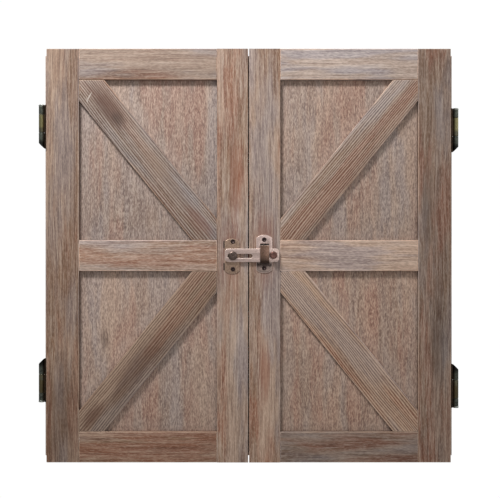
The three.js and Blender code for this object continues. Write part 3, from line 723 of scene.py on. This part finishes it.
# ---------- hinges ----------
HINGE_GREY = (104, 108, 98)
HINGE_BLACK = (30, 28, 27)
# the painted highlight on the middle knuckle: brighter on the upper hinges, nearer the light above
HINGE_KNUCKLE_HIGHLIGHT = {"upper": (148, 141, 100), "lower": (104, 92, 66)}
KNUCKLE_RADIUS = 5 * MM
LEAF_THICKNESS = 1.5 * MM
LEAF_GAP = 0.2 * MM  # between the two closed leaves
SUNK = 0.35 * MM  # how far the screws in leaves and hangers are set in
SUNK_HOLE = 2.7 * MM
# where the knuckles begin and end, measured from the outer end of the pin
PIN_HEAD = 3.25 * MM  # with the gap under it
OUTER_KNUCKLE = 16 * MM
MIDDLE_KNUCKLE = (16.5 * MM, 48.5 * MM)
INNER_KNUCKLE = (49 * MM, 66.5 * MM)
WEB_START, PLATE_START = 2 * MM, 5.35 * MM  # from the pin's axis
# how far each screw is from the axis, and its share of the leaf's length above the middle
LEAF_SCREWS = {
    "case": [(13.5 * MM, -0.36), (13.5 * MM, 0.0), (13.5 * MM, 0.36)],
    "door": [(22 * MM, -0.36), (31 * MM, 0.0), (22 * MM, 0.36)],
}


def hinge(side, sign, level, level_sign):
    prefix = f"{side}_{level}_hinge"
    leaf_low, leaf_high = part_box(f"{prefix}_case_leaf")
    pin_low, pin_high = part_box(f"{prefix}_pin")
    axis = (pin_low + pin_high) / 2
    outer_end = pin_high.z if level_sign > 0 else pin_low.z
    inner_end = leaf_low.z if level_sign > 0 else leaf_high.z
    whole = abs(outer_end - inner_end)
    away = Z * level_sign
    towards = -sign  # the way in X from the pin to the cabinet's middle

    def at(distance, out=0.0):
        """A point `distance` from the outer end of the pin, and `out` from its axis."""
        return Vector((axis.x + towards * out, axis.y, outer_end - level_sign * distance))

    def knuckle(start, end):
        height = end - start
        profile = filleted([(0, 0), (KNUCKLE_RADIUS, 0), (KNUCKLE_RADIUS, height), (0, height)], 0.7 * MM, 4)
        return turned(profile, at(end), away, 40)

    def leaf(part, facing, runs, barrels, finishes, spin):
        node = f"{prefix}_{part}_leaf"
        low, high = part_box(node)
        face = axis.y - facing.y * LEAF_GAP / 2
        rear = face - facing.y * LEAF_THICKNESS
        near = at(0, PLATE_START).x
        far = low.x if sign > 0 else high.x
        middle = (outer_end + inner_end) / 2
        places = [(at(0, out).x, middle + whole * share) for out, share in LEAF_SCREWS[part]]
        holes = [circle(place, SUNK_HOLE, 28) for place in places]
        plate = rounded_box(*sorted((near, far)), *sorted((outer_end, inner_end)), 0.8 * MM, 3)
        shapes = [pressed(plate, holes, rear, face, 0.25 * MM, material=1)]
        for start, end in runs:
            reach = sorted((at(0, WEB_START).x, near + towards * 0.5 * MM))
            web = rounded_box(*reach, *sorted((at(start).z, at(end).z)), 0.4 * MM, 2)
            shapes.append(pressed(web, [], rear, face, 0.2 * MM, material=1))
        build(node, shapes + barrels, *finishes)
        seats = [Vector((x, face, z)) for x, z in places]
        bronze = dark_bronze(f"{prefix}_{part}_screws")
        body = NODES[node]["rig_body"]
        screw_row(f"{node}_screws", seats, facing, 2.6 * MM, body, bronze, spin, 0.25 * MM, SUNK)

    # the inner end of the case leaf's barrel is cut off at a slant
    tip = knuckle(INNER_KNUCKLE[0], whole)
    low_corner = at(whole, KNUCKLE_RADIUS)
    slope = low_corner - at(INNER_KNUCKLE[1], -KNUCKLE_RADIUS)
    normal = Vector((-slope.z, 0, slope.x)).normalized()
    if normal.dot(away) > 0:
        normal.negate()
    geometry = tip.verts[:] + tip.edges[:] + tip.faces[:]
    bmesh.ops.bisect_plane(tip, geom=geometry, plane_co=low_corner, plane_no=normal, clear_outer=True)
    bmesh.ops.holes_fill(tip, edges=[edge for edge in tip.edges if edge.is_boundary])

    # painted shade: the slanted inner tip of the case leaf's barrel is darkened to near black
    shaded_tip = [(inner_end, 14 * MM, 5 * MM, HINGE_BLACK)]
    # in each leaf the plate and webs take the second finish, a dark brown that is painted shade for the gap
    # between barrel and door
    leaf("case", -Y, [(PIN_HEAD, OUTER_KNUCKLE), INNER_KNUCKLE], [knuckle(PIN_HEAD, OUTER_KNUCKLE), tip], [
        metal(f"{prefix}_case_leaf_metal", HINGE_GREY, HINGE_BLACK, roughness=0.42, bands=shaded_tip),
        metal(f"{prefix}_case_leaf_shaded_plate_metal", (66, 50, 42), HINGE_BLACK, roughness=0.5, brushed=Z),
    ], 0.5)
    middle = (at(MIDDLE_KNUCKLE[0]) + at(MIDDLE_KNUCKLE[1])) / 2
    # painted highlight: a bright band along the middle knuckle, where it catches the light
    knuckle_highlight = [(middle.z + level_sign * 4 * MM, 11 * MM, 2 * MM, HINGE_KNUCKLE_HIGHLIGHT[level])]
    leaf("door", Y, [MIDDLE_KNUCKLE], [knuckle(*MIDDLE_KNUCKLE)], [
        metal(f"{prefix}_door_leaf_metal", (112, 106, 84), HINGE_GREY, roughness=0.34, bands=knuckle_highlight),
        metal(f"{prefix}_door_leaf_shaded_plate_metal", (74, 58, 46), HINGE_BLACK, roughness=0.45, brushed=Z),
    ], 0.4)

    radius = (pin_high.x - pin_low.x) / 2
    shank = 2.4 * MM
    length = pin_high.z - pin_low.z
    under_head = length - 3 * MM
    profile = filleted(
        [(0, 0), (shank, 0), (shank, under_head), (radius, under_head), (radius, length - 0.2 * MM),
         (radius * 0.7, length), (0, length)],
        0.8 * MM, 4,
    )
    steel = metal(f"{prefix}_pin_metal", (186, 190, 182), HINGE_GREY, roughness=0.3, worn=0.5)
    build(f"{prefix}_pin", [turned(profile, at(length), away, 40)], steel)


# ---------- latch ----------
COPPER, COPPER_TARNISH = (226, 200, 190), (160, 134, 124)
STRAP_LEFT, STRAP_RIGHT, STRAP_TOP = 19.8 * MM, 35.3 * MM, 17.5 * MM
LATCH_SCREWS = [
    "latch_base_screw_upper", "latch_base_screw_lower", "keeper_screw_upper", "keeper_screw_lower",
]
LATCH_SCREW_HOLE = 2.6 * MM
PLATE_RISE = 5 * MM  # of the arcs at the ends of both plates
PLATE_EASE = 0.6 * MM
STUD_HOLE = 3.6 * MM  # its radius in the base plate, and half the width of the bar's slot
SHADOW_STRIP_ENDS = (13 * MM, 25 * MM)  # of the two dark strips of painted shadow at the base plate's left edge, from its middle
SHADOW_STRIP_REACH = 2.2 * MM
BAR_CORNER = 6 * MM
SLOT_MARGIN = 5 * MM  # left of the bar's slot
SLOT_REACH = 33.5 * MM  # right of the stud
KNOB_HOLE = 2.4 * MM


def latch_plate(node, screws, openings, front, rim):
    low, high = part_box(node)
    places = [centre_of(name) for name in screws]
    holes = [circle((place.x, place.z), LATCH_SCREW_HOLE) for place in places] + openings
    outline = arc_ended(low.x, high.x, low.z, high.z, PLATE_RISE)
    return pressed(outline, holes, high.y, front, PLATE_EASE, rim=rim)


def latch_base():
    low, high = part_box("latch_base")
    stud = centre_of("latch_stud")
    shapes = [latch_plate("latch_base", LATCH_SCREWS[:2], [circle((stud.x, stud.z), STUD_HOLE)], low.y, 1)]
    # painted shadow: two thin dark strips laid along the plate's left edge
    for level_sign in LEVELS.values():
        ends = sorted(level_sign * end for end in SHADOW_STRIP_ENDS)
        shadow_strip = rounded_box(low.x - SHADOW_STRIP_REACH, low.x + 1 * MM, *ends, 0.6 * MM, 3)
        shapes.append(pressed(shadow_strip, [], high.y, high.y - 0.6 * MM, 0.15 * MM, material=2))
    build(
        "latch_base", shapes,
        metal("latch_base_metal", (172, 144, 124), (118, 92, 78), roughness=0.5, brushed=Z, metallic=0.6),
        # the rim finish is a paler copy of the plate's: a painted highlight on its eased edges
        metal("latch_base_rim_highlight", (214, 190, 168), (150, 122, 104), roughness=0.52),
        metal("latch_base_shadow_strip", (62, 48, 42), (38, 30, 27), roughness=0.6, metallic=0.3),
    )


def latch_keeper():
    """The keeper: a plate, the strap folded out of it, and the window that the strap leaves, backed by a dark
    sheet of painted shade.
    """
    low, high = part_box("latch_keeper")
    base_low, base_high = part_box("latch_base")
    bar_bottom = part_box("latch_bar")[0].z
    window = rounded_box(STRAP_LEFT, STRAP_RIGHT, STRAP_TOP + 0.4 * MM, STRAP_TOP + 2.9 * MM, 0.8 * MM, 4)
    shapes = [
        latch_plate("latch_keeper", LATCH_SCREWS[2:], [window], base_low.y, 2),
        keeper_strap((base_low.y + base_high.y) / 2, low.y, bar_bottom),
        # painted shade: a thin near-black sheet in the window behind the strap
        pressed(window, [], high.y, high.y - 0.4 * MM, 0.1 * MM, material=3),
    ]
    # the keeper plate painted darker towards its lower end
    darker_lower_ear = (low.z, 26 * MM, 8 * MM, (166, 146, 136))
    # painted shade: a dark band on the plate under the bar, and another in the strap's lower fold
    bar_shadow = (bar_bottom - 4.5 * MM, 3.5 * MM, 3 * MM, (52, 42, 40))
    fold_shade = (bar_bottom - 6 * MM, 12 * MM, 7 * MM, (46, 36, 32))
    build(
        "latch_keeper", shapes,
        metal(
            "latch_keeper_metal", (232, 206, 197), COPPER_TARNISH, [darker_lower_ear, bar_shadow],
            roughness=0.4, brushed=Z, worn=0.35,
        ),
        metal("latch_strap_metal", (150, 118, 102), (104, 84, 66), [fold_shade], roughness=0.34, brushed=Z),
        # the rim finish is a paler copy of the plate's: a painted highlight on its eased edges
        metal("latch_keeper_rim_highlight", (250, 228, 218), (190, 164, 152), roughness=0.5),
        metal("latch_keeper_window_shade", (34, 28, 26), (20, 17, 16), roughness=0.7, metallic=0.2),
    )


def latch_bar():
    low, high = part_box("latch_bar")
    stud = centre_of("latch_stud")
    knob = centre_of("latch_knob")
    slot_ends = (low.x + SLOT_MARGIN, stud.x + SLOT_REACH)
    slot = rounded_box(*slot_ends, stud.z - STUD_HOLE, stud.z + STUD_HOLE, STUD_HOLE - 0.01 * MM, 10)
    outline = rounded_box(low.x, high.x, low.z, high.z, BAR_CORNER, 10)
    holes = [slot, circle((knob.x, knob.z), KNOB_HOLE)]
    build(
        "latch_bar", [pressed(outline, holes, high.y, low.y, 0.8 * MM, rim=1)],
        metal("latch_bar_metal", COPPER, COPPER_TARNISH, roughness=0.4, brushed=X, worn=0.35),
        # the rim finish is a paler copy of the bar's: a painted highlight on its eased edges
        metal("latch_bar_rim_highlight", (252, 232, 222), (196, 170, 158), roughness=0.5),
    )


def latch_stud():
    low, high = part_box("latch_stud")
    middle = centre_of("latch_stud")
    head = high.x - middle.x
    rear = high.y - low.y
    neck = 3.1 * MM
    profile = filleted([
        (0, rear), (neck, rear), (neck, 2.8 * MM), (head, 2.8 * MM), (head, 1.3 * MM),
        (head * 0.72, 0.2 * MM), (1.4 * MM, 0), (1.1 * MM, 0.5 * MM), (0, 0.5 * MM),
    ], 0.9 * MM, 4)
    shape = turned(profile, Vector((middle.x, low.y, middle.z)), Y)
    build("latch_stud", [shape], metal("latch_stud_metal", (112, 96, 88), (66, 54, 50), roughness=0.38))


def latch_knob():
    low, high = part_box("latch_knob")
    middle = centre_of("latch_knob")
    head = high.x - middle.x
    length = high.y - low.y
    rivet, neck = 2.2 * MM, 3 * MM
    shoulder = length - 2.6 * MM
    profile = filleted([
        (0, length), (rivet, length), (rivet, shoulder), (neck, shoulder), (neck, 5.4 * MM),
        (head * 0.8, 5.4 * MM), (head, 3.8 * MM), (head, 1.6 * MM), (head * 0.75, 0), (head * 0.45, 0.5 * MM),
        (0, 0.9 * MM),
    ], 0.8 * MM, 4)
    shape = turned(profile, Vector((middle.x, low.y, middle.z)), Y)
    build("latch_knob", [shape], metal("latch_knob_metal", (132, 96, 88), (84, 60, 54), roughness=0.44))


def latch_screws():
    for i, name in enumerate(LATCH_SCREWS):
        low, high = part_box(name)
        place = centre_of(name)
        seat = Vector((place.x, low.y + 0.75 * MM, place.z))
        head = screw(seat, -Y, (high.x - low.x) / 2, 0.7 * MM, 0.35 + 0.6 * i)
        build(name, [head], dark_bronze(f"{name}_metal"))


def keeper_strap(y_root, y_front, bar_bottom):
    """The strap folded up from the keeper plate: under the bar, round a bend and up in front of it."""
    thickness = 2 * MM
    bend = 4 * MM
    under = bar_bottom - 0.6 * MM
    foot = under - thickness
    centre = (y_front + bend, foot + bend)
    # drawn with y as its first coordinate, then turned about Z so that its thickness runs along X
    outline = [(y_root, foot), (y_front + bend, foot)]
    outline += arc(centre, bend, -QUARTER, -2 * QUARTER, 10)
    outline += [(y_front, STRAP_TOP), (y_front + thickness, STRAP_TOP)]
    outline += arc(centre, bend - thickness, 2 * QUARTER, 3 * QUARTER, 10)
    outline.append((y_root, under))
    outline.reverse()
    turn = Matrix.Rotation(QUARTER, 4, "Z")
    return pressed(outline, [], -STRAP_LEFT, -STRAP_RIGHT, 0.35 * MM, to_world=turn, material=1)


# ---------- inside the case ----------
def back_panel():
    finish = oak("back_panel_ply", X, 240, "rail", 0.95, 0.3, 0.25)
    refined("back_panel", [finish], 0.3 * MM)


def screw_row(name, places, facing, head, body, finish, spin=0.7, rise=None, sink=0.0):
    """Screws that aren't CAD nodes; each one's slot is turned by `spin` from the one before."""
    rise = rise or head * 0.35
    heads = [screw(place, facing, head, rise, spin * i, sink) for i, place in enumerate(places)]
    new_piece(name, joined(name, heads), body, [finish])


HANGER_CORNER = 5 * MM
HANGER_SCREW_RISE = 16.5 * MM
# the keyhole that the wall screw's head passes and its neck slides up
KEYHOLE_HEAD = 4.8 * MM
KEYHOLE_NECK = 2.4 * MM
KEYHOLE_DROP = 5 * MM
KEYHOLE_RISE = 12 * MM


def keyhole(x, z):
    corner = math.acos(KEYHOLE_NECK / KEYHOLE_HEAD)
    round_end = arc((x, z), KEYHOLE_HEAD, math.pi - corner, 2 * math.pi + corner, 24)
    return round_end + arc((x, z + KEYHOLE_RISE), KEYHOLE_NECK, 0, math.pi, 12)


def hangers():
    for side in SIDES:
        node = f"keyhole_plate_{side}"
        low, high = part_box(node)
        middle = (low + high) / 2
        rises = (-HANGER_SCREW_RISE, HANGER_SCREW_RISE)
        holes = [keyhole(middle.x, middle.z - KEYHOLE_DROP)]
        holes += [circle((middle.x, middle.z + rise), SUNK_HOLE, 24) for rise in rises]
        outline = rounded_box(low.x, high.x, low.z, high.z, HANGER_CORNER)
        build(node, [pressed(outline, holes, high.y, low.y, 0.25 * MM)], zinc(f"{node}_zinc"))
        # set below the wall plane, so that the back still lies flat
        heads = [
            screw(Vector((middle.x, high.y, middle.z + rise)), Y, 2.4 * MM, 0.2 * MM, 40 * rise, SUNK)
            for rise in rises
        ]
        finish = zinc(f"{node}_screw_zinc")
        new_piece(f"{node}_screws", joined("screws", heads), "case", [finish])


def corner_places(node, y, inset_x, inset_z):
    low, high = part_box(node)
    columns = (low.x + inset_x, high.x - inset_x)
    rows = (low.z + inset_z, high.z - inset_z)
    return [Vector((x, y, z)) for x in columns for z in rows]


def board_bracket():
    refined("board_bracket", [zinc("board_bracket_zinc")], 0.4 * MM)
    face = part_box("board_bracket")[1].y - 2 * MM
    places = corner_places("board_bracket", face, 8 * MM, 9 * MM)
    screw_row("board_bracket_screws", places, -Y, 3.6 * MM, "case", zinc("bracket_screw_zinc"))


def scoreboards():
    inset = 12 * MM
    half_rule = 0.9 * MM
    for side in SIDES:
        node = f"{side}_scoreboard"
        body = NODES[node]["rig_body"]
        low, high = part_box(node)
        middle = (low.x + high.x) / 2
        head_line = high.z - 48 * MM
        face = high.y
        refined(node, [chalkboard(f"{node}_slate")], 0.5 * MM)
        lines = [
            (middle - half_rule, middle + half_rule, low.z + inset, high.z - inset),
            (low.x + inset, high.x - inset, head_line - half_rule, head_line + half_rule),
        ]
        shapes = [
            pressed(rounded_box(*line, 0.8 * MM, 3), [], face - 0.05 * MM, face + 0.12 * MM, 0.03 * MM)
            for line in lines
        ]
        rules = joined("rules", shapes)
        new_piece(f"{side}_chalk_rules", rules, body, [chalk(f"{side}_chalk")])
        places = corner_places(node, face, 7 * MM, 7 * MM)
        finish = dark_bronze(f"{node}_screw_metal")
        screw_row(f"{node}_screws", places, Y, 2.8 * MM, body, finish)


# ---------- dart board ----------
SECTORS = 20
BED_RADII = [6.35 * MM, 15.9 * MM, 99 * MM, 107 * MM, 162 * MM, 170 * MM]
INNER_NUMBER_WIRE = 181 * MM
NUMERAL_RADIUS = 199 * MM
NUMERAL_SIZE = 31 * MM
# the order that every dart board has, clockwise from the top
NUMBERS = [20, 1, 18, 4, 13, 6, 10, 15, 2, 17, 3, 19, 7, 16, 8, 11, 14, 9, 12, 5]
DARK_BED, PALE_BED, RED_BED, GREEN_BED = range(4)


def bed_colour(ring, sector):
    """The dye of one bed: the bull, its ring, then single, treble, single and double beds, then the rest."""
    if ring == 0:
        return RED_BED
    if ring == 1:
        return GREEN_BED
    if ring in (3, 5):
        return RED_BED if sector % 2 == 0 else GREEN_BED
    if ring in (2, 4):
        return DARK_BED if sector % 2 == 0 else PALE_BED
    return DARK_BED


def on_board(turn, radius=1.0, y=0.0):
    """The point at a share of a whole turn, clockwise from the top as the board is seen."""
    angle = 2 * math.pi * turn
    return Vector((radius * math.sin(angle), y, radius * math.cos(angle)))


def board_core():
    low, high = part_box("board_core")
    radius = (high.x - low.x) / 2
    steps_each = 6
    steps = SECTORS * steps_each
    ease = 0.6 * MM
    shape = bmesh.new()
    rows = [[shape.verts.new((0, low.y, 0))]]
    front = [(bed, low.y) for bed in BED_RADII + [radius - ease]]
    for ring, y in front + [(radius, low.y + ease), (radius, high.y)]:
        rows.append([shape.verts.new(on_board((i - steps_each / 2) / steps, ring, y)) for i in range(steps)])
    rows.append([shape.verts.new((0, high.y, 0))])
    loft(shape, rows, steps)
    # the faces were made ring by ring, and round each ring from the sector at the top
    for number, face in enumerate(shape.faces):
        ring, step = divmod(number, steps)
        face.material_index = bed_colour(ring, step // steps_each)
    build(
        "board_core", [shape],
        sisal("sisal_black", linear(32, 30, 29)), sisal("sisal_cream", linear(206, 186, 142)),
        sisal("sisal_red", linear(158, 34, 30)), sisal("sisal_green", linear(26, 104, 64)),
    )


def wire_circle(radius, y, wire, steps=120):
    return tube([on_board(i / steps, radius, y) for i in range(steps)], wire, closed=True)


def sector_wire(sector, inner, outer, y, wire):
    way = on_board((sector + 0.5) / SECTORS)
    return tube([way * inner + Y * y, way * outer + Y * y], wire)


def board_spider():
    low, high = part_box("board_spider")
    wire = (high.y - low.y) / 2
    y = (low.y + high.y) / 2
    shapes = [wire_circle(radius, y, wire, 36 if radius < 20 * MM else 120) for radius in BED_RADII]
    shapes += [sector_wire(sector, BED_RADII[1], BED_RADII[-1], y, wire) for sector in range(SECTORS)]
    build("board_spider", shapes, galvanised_wire("spider_wire"))


def number_ring():
    low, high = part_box("number_ring")
    wire = (high.y - low.y) / 2
    thin = wire * 0.8
    y = (low.y + high.y) / 2
    outer = (high.x - low.x) / 2 - wire
    shapes = [wire_circle(outer, y, wire), wire_circle(INNER_NUMBER_WIRE, y, thin)]
    shapes += [sector_wire(sector, INNER_NUMBER_WIRE, outer, y, thin) for sector in range(0, SECTORS, 5)]
    shapes += [numeral(number, sector, y, wire) for sector, number in enumerate(NUMBERS)]
    build("number_ring", shapes, galvanised_wire("number_wire"))


def numeral(number, sector, y, wire):
    text = bpy.data.curves.new("numeral", "FONT")
    text.body = str(number)
    text.size = NUMERAL_SIZE
    text.align_x = "CENTER"
    text.align_y = "CENTER"
    text.extrude = wire * 0.6
    text.bevel_depth = wire * 0.3
    text.offset = -0.9 * MM
    place = Matrix.Translation(on_board(sector / SECTORS, NUMERAL_RADIUS, y))
    shape = shell_of(text, place @ Matrix.Rotation(2 * math.pi * sector / SECTORS, 4, "Y") @ UPRIGHT)
    bmesh.ops.recalc_face_normals(shape, faces=shape.faces)
    for face in shape.faces:
        face.material_index = 0
    return shape


def board_band():
    low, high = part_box("board_band")
    outer = (high.x - low.x) / 2
    inner = outer - 1.2 * MM
    depth = high.y - low.y
    ring = [(inner, 0), (outer, 0), (outer, depth), (inner, depth)]
    profile = []
    for i, corner in enumerate(ring):
        profile += filleted([ring[i - 1], corner, ring[(i + 1) % 4]], 0.35 * MM, 3)[1:-1]
    shape = turned(profile, Vector((0, low.y, 0)), Y, 144, closed=True)
    build("board_band", [shape], black_paint("band_paint"))


def hanging_screw():
    low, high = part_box("hanging_screw")
    radius = (high.x - low.x) / 2
    length = high.y - low.y
    shank = 2.9 * MM
    under_head = length - 2.4 * MM
    profile = filleted([
        (0, 0), (1.2 * MM, 0.6 * MM), (shank, 4 * MM), (shank, under_head), (radius, under_head),
        (radius, length - 1.2 * MM), (radius * 0.7, length), (0, length),
    ], 0.6 * MM, 3)
    build("hanging_screw", [turned(profile, Vector((0, low.y, 0)), Y, 40)], zinc("hanging_screw_zinc"))


# ---------- stage, light and camera ----------
def studio():
    world = bpy.data.worlds.new("studio")
    bpy.context.scene.world = world
    world.use_nodes = True
    tree = world.node_tree
    soft = tree.nodes["Background"]
    white = tree.nodes.new("ShaderNodeBackground")
    for background, strength in ((soft, 0.3), (white, 1.02)):
        background.inputs["Color"].default_value = (1, 1, 1, 1)
        background.inputs["Strength"].default_value = strength
    path = tree.nodes.new("ShaderNodeLightPath")
    mix = tree.nodes.new("ShaderNodeMixShader")
    tree.links.new(path.outputs["Is Camera Ray"], mix.inputs["Fac"])
    tree.links.new(soft.outputs["Background"], mix.inputs[1])
    tree.links.new(white.outputs["Background"], mix.inputs[2])
    tree.links.new(mix.outputs["Shader"], tree.nodes["World Output"].inputs["Surface"])
    bpy.context.scene.view_settings.view_transform = "Standard"

    for name, place, size, power in [
        ("key", (-0.75, -1.15, 1.7), (0.42, 0.36), 34),
        ("fill", (0.9, -2.2, 0.4), (1.4, 1.4), 6),
        ("side", (2.0, 0.25, 0.9), (1.2, 1.2), 9),
        ("rear", (-0.8, 2.2, 1.6), (1.6, 1.2), 30),
    ]:
        light = bpy.data.lights.new(name, "AREA")
        light.shape = "RECTANGLE"
        light.size, light.size_y = size
        light.energy = power
        lamp = bpy.data.objects.new(name, light)
        bpy.context.scene.collection.objects.link(lamp)
        lamp.location = place
        lamp.rotation_euler = (-Vector(place)).to_track_quat("-Z", "Y").to_euler()


def floor():
    """A round pale floor below the cabinet that fades out at its rim."""
    radius = 2.4
    drop = 1.73
    graph = Graph("floor_paint", 0.8)
    place = graph.place()
    colour = graph.mix(graph.noise(place, (3, 3, 3)), (0.80, 0.79, 0.77, 1), (0.86, 0.85, 0.83, 1))
    material = graph.finish(colour)
    flat = graph.vector_math("LENGTH", graph.vector_math("MULTIPLY", place, (1, 1, 0)), (0, 0, 0))
    share = graph.ramp(flat, radius * 0.35, radius * 0.95)
    clear = graph.node("BsdfTransparent", {})
    mix = graph.node("MixShader", {"Fac": share, 1: graph.shader.outputs["BSDF"], 2: clear.outputs["BSDF"]})
    graph.links.new(mix.outputs["Shader"], graph.nodes["Material Output"].inputs["Surface"])
    bpy.ops.mesh.primitive_circle_add(vertices=96, radius=radius, fill_type="NGON", location=(0, 0, -drop))
    plane = bpy.context.object
    plane.name = "floor"
    plane.data.materials.append(material)


def camera():
    """Square to the doors and level with their middle; a small shift sets the cabinet in the picture."""
    distance = 1.4
    width_seen = 0.860
    data = bpy.data.cameras.new("camera")
    data.sensor_width = 36
    data.lens = data.sensor_width * distance / width_seen
    data.shift_x = 0.0028
    data.shift_y = 0.0132
    eye = bpy.data.objects.new("camera", data)
    bpy.context.scene.collection.objects.link(eye)
    door_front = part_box("left_outer_stile")[0].y
    eye.location = (0, door_front - distance, 0)
    eye.rotation_euler = (math.radians(90), 0, 0)
    bpy.context.scene.camera = eye


camera()
studio()
floor()
door_boards()
case_boards()
for side, sign in SIDES.items():
    for level, level_sign in LEVELS.items():
        hinge(side, sign, level, level_sign)
latch_base()
latch_keeper()
latch_bar()
latch_stud()
latch_knob()
latch_screws()
back_panel()
hangers()
board_bracket()
scoreboards()
board_core()
board_spider()
number_ring()
board_band()
hanging_screw()
